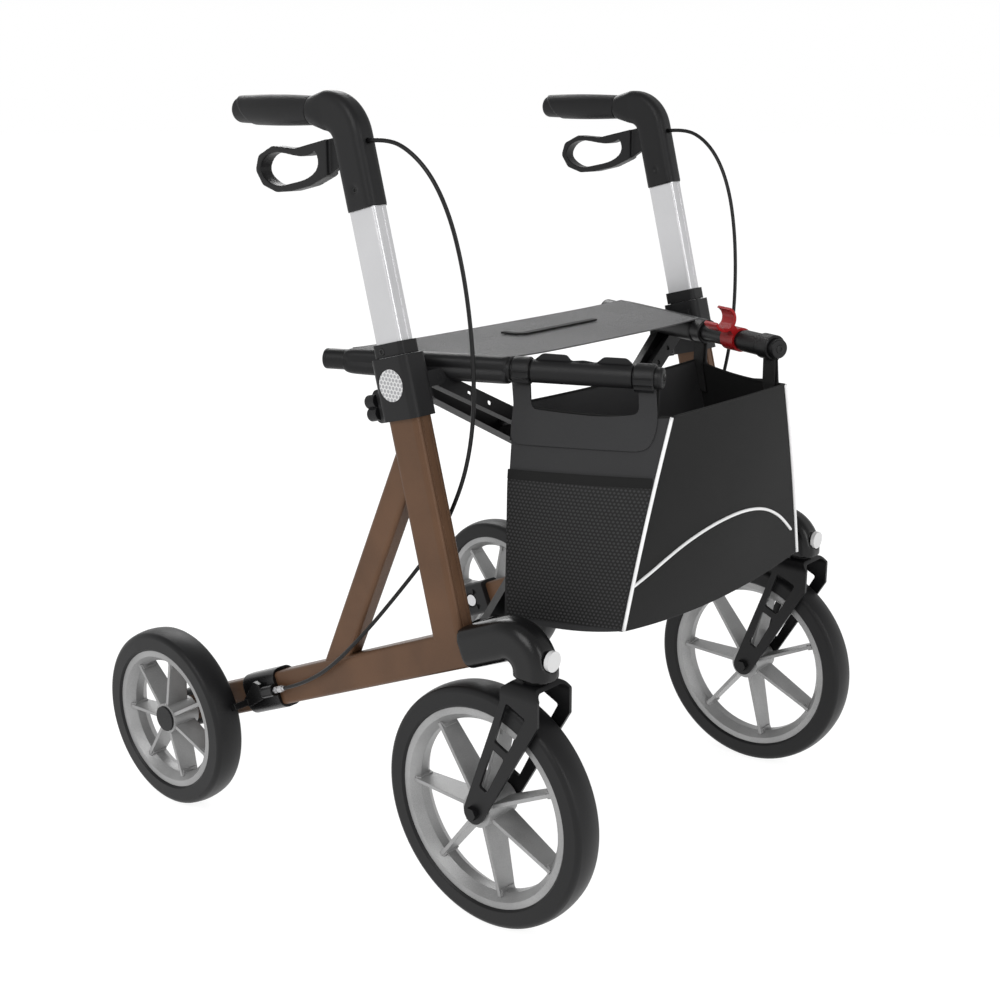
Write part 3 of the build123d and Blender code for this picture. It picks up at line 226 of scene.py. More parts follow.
# %% [markdown]
# ## Dressing the drawn parts
# Each kind of part gets its finish by name. The two sides use the same table.

# %% Finishes of the drawn parts
FINISH_OF = {
    "frame": brown_paint, "clamp_housing": moulded_black, "fork_head": satin_black,
    "brake_housing": satin_black, "axle_block": moulded_black, "rear_axle": steel,
    "cable_adjuster": steel, "handle_tube": anodised, "handle_body": moulded_black, "grip": soft_grip,
    "stop_collar": moulded_black, "brake_lever": moulded_black, "clamp_knob": moulded_black,
    "brake_shoe": satin_black, "fork": powder_black, "front_axle": powder_black,
    "front_rim": rim_silver, "rear_rim": rim_silver, "front_tyre": tyre_rubber,
    "rear_tyre": tyre_rubber, "front_bearings": steel, "rear_bearings": steel,
    "rear_hub_cap": moulded_black, "cross_bar": powder_black, "cross_pivot": steel,
    "seat_tube_caps": moulded_black, "link": moulded_black, "fold_clip": red_plastic,
}


def kind_of(node):
    bare = node.removeprefix("right_").removeprefix("left_")
    return bare.removesuffix("_a").removesuffix("_b")


def dress(piece, material):
    for slot in piece.material_slots:
        slot.material = material


for node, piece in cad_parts.items():
    if kind_of(node) in FINISH_OF:
        dress(piece, FINISH_OF[kind_of(node)])
print("dressed", sum(kind_of(n) in FINISH_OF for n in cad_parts))

# %% [markdown]
# ## Reflectors
# A reflector is a pale disc with a honeycomb of tiny prisms. Two square lattices of dots, one moved
# by half a cell and both stretched by the square root of three, make a honeycomb together, so no
# texture file is needed. The plain silver cap on the fork head is drawn as one part with it, so the
# pattern is switched off at its height.


# %% Honeycomb pattern
def honeycomb(tree, place, cell, across="Y", up="Z"):
    """Distance to the nearest honeycomb cell centre, in cells."""
    axes = put(tree, "SeparateXYZ", {0: place})
    nearest = []
    for offset in (0.0, 0.5):
        flat = []
        for axis, stretch in ((across, 1.0), (up, 1 / sqrt(3))):
            scaled = put(tree, "Math", {0: axes.outputs[axis], 1: stretch / cell, 2: offset},
                         operation="MULTIPLY_ADD").outputs[0]
            part = put(tree, "Math", {0: scaled, 1: 1.0, 2: 0.0}, operation="WRAP").outputs[0]
            centred = put(tree, "Math", {0: part, 1: 0.5}, operation="SUBTRACT").outputs[0]
            flat.append(put(tree, "Math", {0: centred, 1: 1 / stretch}, operation="MULTIPLY").outputs[0])
        spot = put(tree, "CombineXYZ", {0: flat[0], 1: flat[1]}).outputs[0]
        nearest.append(put(tree, "VectorMath", {0: spot}, operation="LENGTH").outputs["Value"])
    return put(tree, "Math", {0: nearest[0], 1: nearest[1]}, operation="MINIMUM").outputs[0]


def two_tone(material, factor, colours, bump=0.0, depth=0.0004):
    """Mixes two colours by a pattern, and raises the pattern as bump."""
    tree = material.node_tree
    shader = tree.nodes["Principled BSDF"]
    mix = put(tree, "Mix", {0: factor, 6: (*colours[0], 1), 7: (*colours[1], 1)}, data_type="RGBA")
    tree.links.new(mix.outputs[2], shader.inputs["Base Color"])
    if bump:
        values = {"Height": factor, "Strength": bump, "Distance": depth}
        if shader.inputs["Normal"].links:
            values["Normal"] = shader.inputs["Normal"].links[0].from_socket
        tree.links.new(put(tree, "Bump", values).outputs["Normal"], shader.inputs["Normal"])


PRISM_CELL, CAP_TOP = 5.2, 450
reflector = finish("reflector", (0.6, 0.6, 0.6), 0.3, grain=0.1, edge=0.4)
reflector_tree = reflector.node_tree
disc_place = put(reflector_tree, "TexCoord").outputs["Object"]
cells = honeycomb(reflector_tree, disc_place, PRISM_CELL * MM)
dots = put(reflector_tree, "MapRange", {"Value": cells, "From Min": 0.34, "From Max": 0.42}).outputs[0]
disc_height = put(reflector_tree, "SeparateXYZ", {0: disc_place}).outputs["Z"]
cap = put(reflector_tree, "Math", {0: disc_height, 1: CAP_TOP * MM}, operation="LESS_THAN").outputs[0]
pattern = put(reflector_tree, "Math", {0: dots, 1: cap}, operation="MAXIMUM").outputs[0]
two_tone(reflector, pattern, ((0.3, 0.3, 0.31), (0.6, 0.6, 0.6)), bump=0.4)
for side in SIDES:
    dress(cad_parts[side + "_reflectors"], reflector)
print("honeycomb cell", PRISM_CELL, "mm")

# %% [markdown]
# ## Cloth, three ways
# The seat is a coarse technical weave, the bag a fine coated polyester, and its side pockets a knitted
# mesh with small holes. Each is the same shader with its own pattern, laid out along UV coordinates
# that are measured in metres on the cloth, so that threads keep their size on every panel.


# %% Thread patterns
def cloth(name, colour, rough, thread, strength, sheen=0.1, mottle=0.2):
    """A plain weave: two crossing sets of threads of a width in millimetres."""
    material = bpy.data.materials.new(name)
    material.use_nodes = True
    tree = material.node_tree
    shader = tree.nodes["Principled BSDF"]
    cloth_place = put(tree, "UVMap", uv_map="cloth").outputs["UV"]
    waves = []
    for axis in ("X", "Y"):
        wave = put(tree, "TexWave", {"Vector": cloth_place, "Scale": 1 / (thread * MM) / 6.2832 * 3.1416,
                                     "Distortion": 0.6, "Detail": 1.0}, bands_direction=axis)
        waves.append(wave.outputs["Fac"])
    weave = put(tree, "Math", {0: waves[0], 1: waves[1]}, operation="MAXIMUM").outputs[0]
    spots = put(tree, "TexNoise", {"Vector": cloth_place, "Scale": 900.0, "Detail": 2.0}).outputs["Fac"]
    wide = put(tree, "TexNoise", {"Vector": cloth_place, "Scale": 9.0, "Detail": 3.0}).outputs["Fac"]
    tone = put(tree, "Math", {0: weave, 1: spots}, operation="MULTIPLY").outputs[0]
    tone = put(tree, "Math", {0: tone, 1: wide}, operation="ADD").outputs[0]
    share = put(tree, "MapRange", {"Value": tone, "From Min": 0.45, "From Max": 1.1}).outputs[0]
    dark, light = ([c * (1 + way * mottle) for c in colour] for way in (-1, 1))
    two_tone(material, share, (dark, light))
    bump = put(tree, "Bump", {"Height": weave, "Strength": strength, "Distance": thread * MM * 0.25})
    tree.links.new(bump.outputs["Normal"], shader.inputs["Normal"])
    shader.inputs["Roughness"].default_value = rough
    shader.inputs["Specular IOR Level"].default_value = 0.2
    shader.inputs["Sheen Weight"].default_value = sheen
    shader.inputs["Sheen Roughness"].default_value = 0.45
    return material


seat_weave = cloth("seat_weave", (0.085, 0.085, 0.087), 0.55, 1.1, 0.9, sheen=0.2, mottle=0.35)
bag_cloth = cloth("bag_cloth", (0.070, 0.071, 0.073), 0.62, 0.5, 0.35, mottle=0.12)
side_cloth = cloth("side_cloth", (0.024, 0.024, 0.025), 0.6, 0.5, 0.35, mottle=0.12)
lining = cloth("lining", (0.007, 0.007, 0.007), 0.75, 0.5, 0.3, sheen=0.03)
webbing = cloth("webbing", (0.007, 0.007, 0.007), 0.6, 1.6, 0.9, sheen=0.05)
piping_silver = finish("piping_silver", (0.78, 0.78, 0.78), 0.4, metal=0.1, grain=0.4, grain_size=0.4,
                       edge=0.1)

KNIT_CELL = 4.4
mesh_cloth = cloth("mesh_cloth", (0.012, 0.012, 0.012), 0.5, 0.5, 0.2, sheen=0.04)
mesh_tree = mesh_cloth.node_tree
knit_place = put(mesh_tree, "UVMap", uv_map="cloth").outputs["UV"]
holes = honeycomb(mesh_tree, knit_place, KNIT_CELL * MM, "X", "Y")
knots = put(mesh_tree, "MapRange", {"Value": holes, "From Min": 0.34, "From Max": 0.22}).outputs[0]
two_tone(mesh_cloth, knots, ((0.009, 0.009, 0.009), (0.034, 0.034, 0.035)), bump=0.9, depth=0.0008)
print("cloth finishes ready")

# %% [markdown]
# ## Making a panel of cloth
# A sewn panel is a grid of points. Its thickness comes from Solidify, and its second material is the
# lining. The modifiers are applied at once.


# %% Mesh helpers
def new_piece(name, vertices, faces, materials):
    mesh = bpy.data.meshes.new(name)
    mesh.from_pydata([tuple(v) for v in vertices], [], faces)
    for material in materials:
        mesh.materials.append(material)
    piece = bpy.data.objects.new(name, mesh)
    bpy.context.scene.collection.objects.link(piece)
    return piece


def settle(piece, sharp=40):
    """Applies the modifiers, and shades the result smooth up to an angle."""
    graph = bpy.context.evaluated_depsgraph_get()
    mesh = bpy.data.meshes.new_from_object(
        piece.evaluated_get(graph), preserve_all_data_layers=True, depsgraph=graph)
    piece.modifiers.clear()
    piece.data = mesh
    mesh.polygons.foreach_set("use_smooth", [True] * len(mesh.polygons))
    mesh.set_sharp_from_angle(angle=radians(sharp))
    return piece


def panel(name, rows, thickness, materials, closed=False):
    """A sheet through rows of points, with UVs in metres along both ways."""
    count = len(rows[0])
    wrap = count if closed else count - 1
    faces, corners = [], []
    along = [[0.0] for _ in rows]
    for r, row in enumerate(rows):
        for c in range(1, count + closed):
            along[r].append(along[r][-1] + (row[c % count] - row[c - 1]).length)
    down = [[0.0] * (count + closed)]
    for r in range(1, len(rows)):
        down.append([down[-1][c] + (rows[r][c % count] - rows[r - 1][c % count]).length
                     for c in range(count + closed)])
    for r in range(len(rows) - 1):
        for c in range(wrap):
            d = (c + 1) % count
            faces.append((r * count + c, r * count + d, (r + 1) * count + d, (r + 1) * count + c))
            corners += [(along[r][c], down[r][c]), (along[r][c + 1], down[r][c + 1]),
                        (along[r + 1][c + 1], down[r + 1][c + 1]), (along[r + 1][c], down[r + 1][c])]
    piece = new_piece(name, [p for row in rows for p in row], faces, materials)
    layer = piece.data.uv_layers.new(name="cloth")
    for loop, corner in zip(layer.data, corners):
        loop.uv = corner
    if thickness:
        solid = spread(piece, thickness)
        if len(materials) > 1:
            solid.material_offset = 1
    return settle(piece)


def close_ends(piece):
    """Fills the open ends of a tube, and turns every face outwards."""
    mesh = bmesh.new()
    mesh.from_mesh(piece.data)
    bmesh.ops.holes_fill(mesh, edges=[e for e in mesh.edges if e.is_boundary])
    bmesh.ops.recalc_face_normals(mesh, faces=mesh.faces)
    mesh.to_mesh(piece.data)
    mesh.free()
    return piece


def tube(name, points, radius, material, sides=12):
    """A round cord through points, in metres, closed at both ends."""
    rows, up = [], Vector((0, 0, 1))
    for i, point in enumerate(points):
        way = (points[min(i + 1, len(points) - 1)] - points[max(i - 1, 0)]).normalized()
        side = (way.cross(up) if abs(way.dot(up)) < 0.95 else way.cross(Vector((1, 0, 0)))).normalized()
        up = side.cross(way).normalized()
        rows.append([point + (side * cos(a) + up * sin(a)) * radius * MM
                     for a in (2 * pi * k / sides for k in range(sides))])
    return close_ends(panel(name, rows, 0, [material], closed=True))


def mix(a, b, share):
    return a + (b - a) * share


def spread(piece, thickness):
    """Gives a flat piece its thickness in millimetres, half to each side."""
    solid = piece.modifiers.new("thickness", "SOLIDIFY")
    solid.thickness, solid.offset = thickness * MM, 0
    return solid


print("mesh helpers ready")

# %% [markdown]
# ## Softening the moulded parts
# Handles, levers and fork heads are moulded, and every edge of them is generously round. The drawing
# keeps those edges plain. Here a copy of each is melted into small even cells and smoothed, which
# rounds it all over, and the copy takes the drawn part's place.

# %% Melting the edges round
for kind, body, cell, passes in (("handle_body", "handle", 1.5, 8), ("brake_lever", "lever", 1.0, 9),
                                 ("fork_head", "side", 1.5, 7)):
    for side in SIDES:
        node = side + "_" + kind
        soft = bpy.data.objects.new(node + "_soft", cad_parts[node].data.copy())
        bpy.context.scene.collection.objects.link(soft)
        melt = soft.modifiers.new("melt", "REMESH")
        melt.mode, melt.voxel_size = "VOXEL", cell * MM
        smooth = soft.modifiers.new("smooth", "SMOOTH")
        smooth.factor, smooth.iterations = 0.5, passes
        settle(soft, 75)
        soft.data.materials.clear()
        soft.data.materials.append(FINISH_OF[kind])
        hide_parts(node)
        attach(soft, side + "_" + body)
        print(soft.name, len(soft.data.polygons), "faces")

# %% [markdown]
# ## Grips
# Each grip swells a little in the middle. Near its end the soft upper shell stops along a leaf-shaped
# lip, and the harder end piece shows below it, about one and a half millimetres deeper.

# %% Grips with a leaf-shaped lip
FRAME_X = 285.0
GRIP_Y, GRIP_Z, GRIP_LONG, GRIP_RADIUS = 256.8, 902.0, 128.0, 16.0
SHELL_DEEP, SWELL = 1.4, 1.3


def fade(value):
    value = max(0.0, min(1.0, value))
    return value * value * (3 - 2 * value)


def grip_row(side, along, shrink):
    row = []
    for n in range(72):
        angle = 2 * pi * n / 72
        lip = 3 + 27 * (0.5 - 0.5 * cos(angle)) ** 0.8
        shell = fade((GRIP_LONG - along - lip) / 1.2)
        swell = SWELL * sin(pi * along / GRIP_LONG)
        radius = (GRIP_RADIUS - SHELL_DEEP + SHELL_DEEP * shell + swell) * shrink
        row.append(at(SIDES[side] * FRAME_X + radius * sin(angle), GRIP_Y + along,
                      GRIP_Z + radius * cos(angle)))
    return row


for side in SIDES:
    stations = [(k * 1.25, 1.0) for k in range(98)]
    stations += [(122 + 6 * sin(t * pi / 12), 1 - 0.36 * (1 - cos(t * pi / 12))) for t in range(7)]
    stations += [(128, 0.4), (128, 0.05)]
    rows = [grip_row(side, *station) for station in stations]
    grip = close_ends(panel("grip_" + side, rows, 0, [soft_grip], closed=True))
    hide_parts(side + "_grip")
    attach(grip, side + "_handle")
print("grips made")

# %% [markdown]
# ## Screws
# Hexagon socket screws hold the handles, the stop collars and the end caps of the seat tubes. One
# small function makes them: a low head with a six-sided recess.


# %% Socket screws
SCREW_PROFILE = ((1, -2, 0), (1, 0, 0), (0.9, 0.5, 0), (0.5, 0.5, 1), (0.48, -1.4, 1), (0.02, -1.4, 0))


def screw(name, place, facing, radius, body):
    facing = facing.normalized()
    u = facing.orthogonal().normalized()
    v = facing.cross(u)
    rows = []
    for size, rise, hexagon in SCREW_PROFILE:
        row = []
        for n in range(24):
            angle = 2 * pi * n / 24
            flat = cos(pi / 6) / cos((angle + pi / 6) % (pi / 3) - pi / 6) if hexagon else 1
            round_it = (u * cos(angle) + v * sin(angle)) * radius * size * flat
            row.append(place + (round_it + facing * rise) * MM)
        rows.append(row)
    piece = close_ends(panel(name, rows, 0, [satin_black], closed=True))
    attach(piece, body)
    return piece


for side, sign in SIDES.items():
    outwards = Vector((sign, 0, 0))
    screw("handle_screw_" + side, at(sign * 298.3, 180.4, 818.7), outwards, 3.8, side + "_handle")
    screw("collar_screw_" + side, at(sign * 299.4, 143.5, 645.0), outwards, 4.4, side + "_handle")
print("screws made")

# %% [markdown]
# ## The seat
# The seat is one sheet of weave stretched between two tubes that spread apart towards the back. Each
# side edge has a thick keder sewn in, which slides into a channel of the tube, so the edge shows as
# two soft black ridges. A short pull strap on top lifts the middle to fold the frame.

# %% Seat sheet
TUBE_FRONT, TUBE_Z, SPLAY = (125.0, -107.0), 621.0, radians(22)
SEAT_FRONT, SEAT_REAR, SEAT_Z = 50.0, 229.0, 636.0
TUBE_BODY = {"right": "cross_b", "left": "cross_a"}


def tube_x(y):
    return TUBE_FRONT[0] + (y - TUBE_FRONT[1]) * tan(SPLAY)


def seat_sag(across, depth):
    """The weave hangs a little between the tubes, most at its free front and back edges."""
    return -2.6 * (1 - across ** 4) * (0.75 + 0.25 * abs(2 * depth - 1))


rows = []
for r in range(25):
    depth = r / 24
    y = mix(SEAT_FRONT, SEAT_REAR, depth)
    half = tube_x(y) + 2
    row = []
    for c in range(41):
        across = 2 * c / 40 - 1
        row.append(at(half * across, y, SEAT_Z - 0.8 + seat_sag(across, depth)))
    rows.append(row)
seat = panel("seat_sheet", rows, 1.6, [seat_weave])
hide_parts("seat")
seat_area = (tube_x(SEAT_FRONT) + tube_x(SEAT_REAR)) * MM * (SEAT_REAR - SEAT_FRONT) * MM
print("seat sheet area", round(seat_area, 4))

# %% Seat edges: a keder in its channel, one on each tube
# The last stations taper into the plastic end of the tube.
EDGE_LOBES = [(0, 15.2), (6, 15.0), (11, 12.5), (13.6, 8), (13.2, 3), (11.6, 1.0), (13.4, -1.5), (15, -6),
              (14, -11), (9.5, -15), (3, -16.6), (-3, -16.6), (-9, -15), (-13, -10), (-13.6, -3), (-13, 4),
              (-11.5, 10), (-6, 14.6)]


def seat_edge(side):
    sign = SIDES[side]
    rows = []
    for k, y in enumerate((SEAT_FRONT, SEAT_FRONT + 1.5, *range(60, 220, 20), 226, 231, 235, 237)):
        shrink = {0: 0.9, 10: 0.97, 11: 0.93, 12: 0.82, 13: 0.66}.get(k, 1.0)
        x = tube_x(y)
        rows.append([at(sign * (x + u * shrink / cos(SPLAY)), y - u * shrink * sin(SPLAY) * 0.5,
                        TUBE_Z + v * shrink) for u, v in EDGE_LOBES])
    piece = close_ends(panel("seat_edge_" + side, rows, 0, [moulded_black], closed=True))
    soft = piece.modifiers.new("round", "SUBSURF")
    soft.levels = soft.render_levels = 1
    settle(piece, 60)
    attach(piece, TUBE_BODY[side])
    return piece


for side in SIDES:
    seat_edge(side)
print("seat edges made")

# %% Pull strap
strap_line = [(-68, 167), (-65, 146), (-58, 141), (88, 144.5)]
strap_points = [Vector((x, y)) for x, y in strap_line]
rows = []
for i, p in enumerate(strap_points):
    way = (strap_points[min(i + 1, 3)] - strap_points[max(i - 1, 0)]).normalized()
    across = Vector((-way.y, way.x)) * 4.5
    rows.append([at(p.x + across.x * k, p.y + across.y * k, SEAT_Z + 0.3) for k in (-1, -0.33, 0.33, 1)])
strap = panel("pull_strap", rows, 2.2, [webbing])
for piece in (seat, strap):
    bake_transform(piece)
print("strap made")

# %% [markdown]
# ## The bag
# The bag is sewn from five panels of coated cloth that flare towards the bottom. Every panel is a
# patch between its four corners, with a little belly where the cloth is free. Neighbours share their
# corner lines, so the seams close, and the inside of each panel is the black lining.

# %% Bag corners and panels
FRONT_TOP, FRONT_LOW = (121.0, -121.0, 579.0), (189.0, -111.0, 348.0)
BACK_TOP, BACK_LOW = (185.0, 49.0, 581.0), (230.0, 25.0, 345.0)
BAG_ACROSS, BAG_DOWN, BAG_DEEP = 29, 25, 240
SIDE_OUT = (0.93, -0.36)


def corner_line(top, low, down, sign):
    """A corner of the bag, from its top to its lower end, slightly bowed outwards."""
    bow = 3.0 * sin(pi * down)
    return Vector((sign * (mix(top[0], low[0], down) + bow), mix(top[1], low[1], down),
                   mix(top[2], low[2], down)))


def front_point(across, down):
    """across runs from -1 at the right corner to 1 at the left one."""
    edge = corner_line(FRONT_TOP, FRONT_LOW, down, 1)
    free = 1 - across ** 2
    sag = 13 * free * down ** 2
    belly = 9 * free * sin(pi * min(1, down * 0.85 + 0.08))
    return Vector((edge.x * across, edge.y - belly, edge.z - sag))


def back_point(across, down):
    edge = corner_line(BACK_TOP, BACK_LOW, down, 1)
    free = 1 - across ** 2
    return Vector((edge.x * across, edge.y + 5 * free * sin(pi * down),
                   edge.z - 8 * free * down ** 2 - 3 * free * (1 - down)))


def side_point(share, down, sign):
    """share runs from 0 at the front corner to 1 at the back one."""
    front = corner_line(FRONT_TOP, FRONT_LOW, down, sign)
    back = corner_line(BACK_TOP, BACK_LOW, down, sign)
    free = 4 * share * (1 - share)
    point = mix(front, back, share)
    out = Vector((sign * SIDE_OUT[0], SIDE_OUT[1], 0))
    drop = free * (5 * (1 - down) + 7 * down ** 3)
    return point + out * (6 * free * sin(pi * down)) - Vector((0, 0, drop))


def grid(point, across, down):
    return [[point(c / across, r / down) for c in range(across + 1)] for r in range(down + 1)]


def metres(rows):
    return [[at(*p) for p in row] for row in rows]


BAG_PIECES = []


def bag_piece(piece):
    """Everything on the bag rides with it."""
    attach(piece, "bag")
    BAG_PIECES.append(piece)
    return piece


def bag_panel(name, rows, thickness, materials):
    rows = metres(rows)
    piece = bag_piece(panel(name, rows, thickness, materials))
    return piece


BAG_CLOTH, BASE_CLOTH = 1.6, 2.0
rows = grid(lambda s, t: front_point(2 * s - 1, t), BAG_ACROSS, BAG_DOWN)
bag_front = bag_panel("bag_front", rows, BAG_CLOTH, [bag_cloth, lining])
rows = grid(lambda s, t: back_point(1 - 2 * s, t), BAG_ACROSS, BAG_DOWN)
bag_panel("bag_back", rows, BAG_CLOTH, [side_cloth, lining])
for side, sign in SIDES.items():
    rows = grid(lambda s, t: side_point(1 - s if sign < 0 else s, t, sign), 20, BAG_DOWN)
    bag_panel("bag_side_" + side, rows[::-1], BAG_CLOTH, [side_cloth, lining])
rows = [[mix(front_point(2 * c / 20 - 1, 1), back_point(2 * c / 20 - 1, 1), r / 10) for c in range(21)]
        for r in range(11)]
bag_panel("bag_base", rows, BASE_CLOTH, [side_cloth, lining])
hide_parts("bag")

# %% [markdown]
# ## Piping
# Silver reflective piping is sewn into both front corners, and one more line sweeps across the front
# in an arch. Each is a thin round cord that lies half in its seam.



# %% Piping along the corners and across the front
def front_at(x, z):
    """The place on the front panel with this x and height, found by a few corrections."""
    down = 0.5
    for _ in range(12):
        width = corner_line(FRONT_TOP, FRONT_LOW, down, 1).x
        across = max(-1.0, min(1.0, x / width))
        down = max(0.0, min(1.0, down + (front_point(across, down).z - z) / BAG_DEEP))
    return front_point(across, down)


for side, sign in SIDES.items():
    line = [front_point(sign, k / 30) + Vector((sign * 0.6, -1.2, 0)) for k in range(31)]
    bag_piece(tube("bag_piping_" + side, [at(*p) for p in line], 2.1, piping_silver))

ARCH = [(-181, 397), (-150, 405), (-118, 417), (-84, 428), (-36, 437.5), (14, 440.5), (50, 438),
        (86, 430.5), (120, 416), (146, 400), (166, 384)]


def smooth_line(places, steps):
    """The points of a NURBS line that is pulled through the given places."""
    curve = bpy.data.curves.new("line", "CURVE")
    curve.dimensions = "3D"
    spline = curve.splines.new("NURBS")
    spline.points.add(len(places) - 1)
    for point, place in zip(spline.points, places):
        point.co = (*place, 1)
    spline.order_u, spline.use_endpoint_u, spline.resolution_u = 3, True, steps
    holder = bpy.data.objects.new("line", curve)
    bpy.context.scene.collection.objects.link(holder)
    mesh = bpy.data.meshes.new_from_object(holder)
    points = [v.co.copy() for v in mesh.vertices]
    bpy.data.objects.remove(holder)
    return points


arch_line = smooth_line([at(*(front_at(x, z) - Vector((0, 1.3, 0)))) for x, z in ARCH], 6)
bag_piece(tube("bag_piping_arch", arch_line, 1.9, piping_silver))
print("arch points", len(arch_line))

# %% Top hem: a narrow fold of cloth round the mouth
hem_line = [front_point(2 * k / 20 - 1, 0) for k in range(21)]
hem_line += [side_point(k / 14, 0, 1) for k in range(1, 15)]
hem_line += [back_point(1 - 2 * k / 20, 0) for k in range(1, 21)]
hem_line += [side_point(1 - k / 14, 0, -1) for k in range(1, 15)]
bag_piece(tube("bag_hem", [at(*p) for p in hem_line], 1.5, lining, sides=8))
print("hem points", len(hem_line))

# %% [markdown]
# ## Flap, loops and pocket
# A stiff flap is sewn flat on each side. It runs up as two loops that button round the seat tube, with
# an arched opening between them. Below it a knitted pocket covers the side, closed by a plain band.
# The flap has an outline with round corners, so it is drawn as a flat filled curve over (y, z), and
# its points are then laid on the side of the bag.



# %% Laying a flat outline on the side
def side_at(y, z, sign, out):
    """The place on the side panel at this depth and height, raised outwards by out."""
    share, down = 0.5, 0.5
    for _ in range(14):
        p = side_point(share, down, sign)
        ends = side_point(0, down, sign).y, side_point(1, down, sign).y
        share = max(-0.05, min(1.05, share + (y - p.y) / (ends[1] - ends[0])))
        down = max(-0.2, min(1.0, down + (p.z - z) / BAG_DEEP))
    p = side_point(max(0, min(1, share)), max(0, down), sign)
    p = Vector((p.x, y, z))
    if down <= 0:
        lean = (z - BACK_TOP[2]) / (TUBE_Z - BACK_TOP[2])
        p.x = mix(p.x, sign * tube_x(y), max(0.0, min(1.0, lean)))
    return p + Vector((sign * SIDE_OUT[0], SIDE_OUT[1], 0)) * out


def rounded(corners, steps=5):
    """A closed outline with its corners cut round, each by its own radius."""
    outline = []
    count = len(corners)
    for i, corner in enumerate(corners):
        here, radius = Vector(corner[:2]), corner[2]
        before, after = Vector(corners[i - 1][:2]), Vector(corners[(i + 1) % count][:2])
        a = here + (before - here).normalized() * min(radius, (before - here).length / 2)
        b = here + (after - here).normalized() * min(radius, (after - here).length / 2)
        for k in range(steps + 1):
            t = k / steps
            outline.append(a * (1 - t) ** 2 + here * 2 * t * (1 - t) + b * t ** 2)
    return outline


def laid_shape(name, outline, sign, out, thickness, material):
    """Fills an outline over (y, z) with small faces and lays it on the side."""
    mesh = bmesh.new()
    ring = [mesh.verts.new((p.x, p.y, 0)) for p in outline]
    mesh.faces.new(ring)
    for axis, positions in (((1, 0), range(-110, 60, 10)), ((0, 1), range(350, 620, 8))):
        for position in positions:
            bmesh.ops.bisect_plane(mesh, geom=mesh.verts[:] + mesh.edges[:] + mesh.faces[:],
                                   plane_co=(axis[0] * position, axis[1] * position, 0),
                                   plane_no=(axis[0], axis[1], 0))
    flat = bpy.data.meshes.new(name)
    uv = mesh.loops.layers.uv.new("cloth")
    for face in mesh.faces:
        for loop in face.loops:
            loop[uv].uv = (loop.vert.co.x * MM, loop.vert.co.y * MM)
    for vertex in mesh.verts:
        vertex.co = at(*side_at(vertex.co.x, vertex.co.y, sign, out))
    if sign > 0:
        bmesh.ops.reverse_faces(mesh, faces=mesh.faces)
    mesh.to_mesh(flat)
    mesh.free()
    flat.materials.append(material)
    piece = bpy.data.objects.new(name, flat)
    bpy.context.scene.collection.objects.link(piece)
    spread(piece, thickness)
    return bag_piece(settle(piece))


# Each corner of an outline is its depth, its height and the radius it is cut round with.
FLAP = [(50, 613, 2), (49, 575, 12), (47, 538, 16), (-103, 541, 16), (-109, 560, 12), (-104, 613, 2),
        (-86, 613, 2), (-88, 580, 9), (-52, 574, 30), (-10, 575, 30), (30, 577, 9), (31, 613, 2)]
POCKET = [(43, 499, 2), (22, 346, 3), (-108, 350, 3), (-116, 503, 2)]
BAND = [(44, 510, 1), (43, 499, 1), (-115, 503, 1), (-115, 514, 1)]
for side, sign in SIDES.items():
    laid_shape("bag_flap_" + side, rounded(FLAP), sign, 2.6, 1.5, side_cloth)
    laid_shape("bag_pocket_" + side, rounded(POCKET), sign, 1.8, 1.0, mesh_cloth)
    laid_shape("bag_band_" + side, rounded(BAND), sign, 2.4, 1.0, lining)
print("side pieces laid on")

# %% Webbing straps inside
# Two straps of ribbed webbing hang from each tube and are sewn to the inside of the side panel.
for side, sign in SIDES.items():
    for name, low_y, high_y in (("front", -107, -86), ("rear", 31, 49)):
        strip = [[at(*side_at(mix(low_y, high_y, c / 3), z, sign, -3.0)) for c in range(4)]
                 for z in range(612, 536, -4)]
        bag_piece(panel("bag_strap_" + name + "_" + side, strip, 1.6, [webbing]))
print("webbing straps hung")

# %% [markdown]
# ## Each bag piece gets its own mesh
# Folding swings the right seat tube over, and the bag with it, and the cloth goes flat between the tubes.
# Here each piece of the bag only gets a mesh of its own.

# %% Each bag piece gets its own mesh
for piece in BAG_PIECES:
    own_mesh(piece)
print("bag pieces", len(BAG_PIECES))

# %% [markdown]
# ## On the seat tubes
# Ribbed clips hold the loops of the bag on the tubes. On the right tube a thin stiff tongue with two
# humps stands up between the clips, to help the hand find the place when the frame is unfolded.



# %% Clips, sleeve and tongue
def on_tube(side, along, angle, radius):
    """A place round a seat tube: along it from its front end, and round it from the outer side up."""
    sign = SIDES[side]
    run = Vector((sign * sin(SPLAY), cos(SPLAY), 0))
    out = Vector((sign * cos(SPLAY), -sin(SPLAY), 0))
    middle = Vector((sign * TUBE_FRONT[0], TUBE_FRONT[1], TUBE_Z)) + run * along
    return at(*(middle + (out * cos(angle) + Vector((0, 0, 1)) * sin(angle)) * radius))


TUBE_RADIUS = 12.25


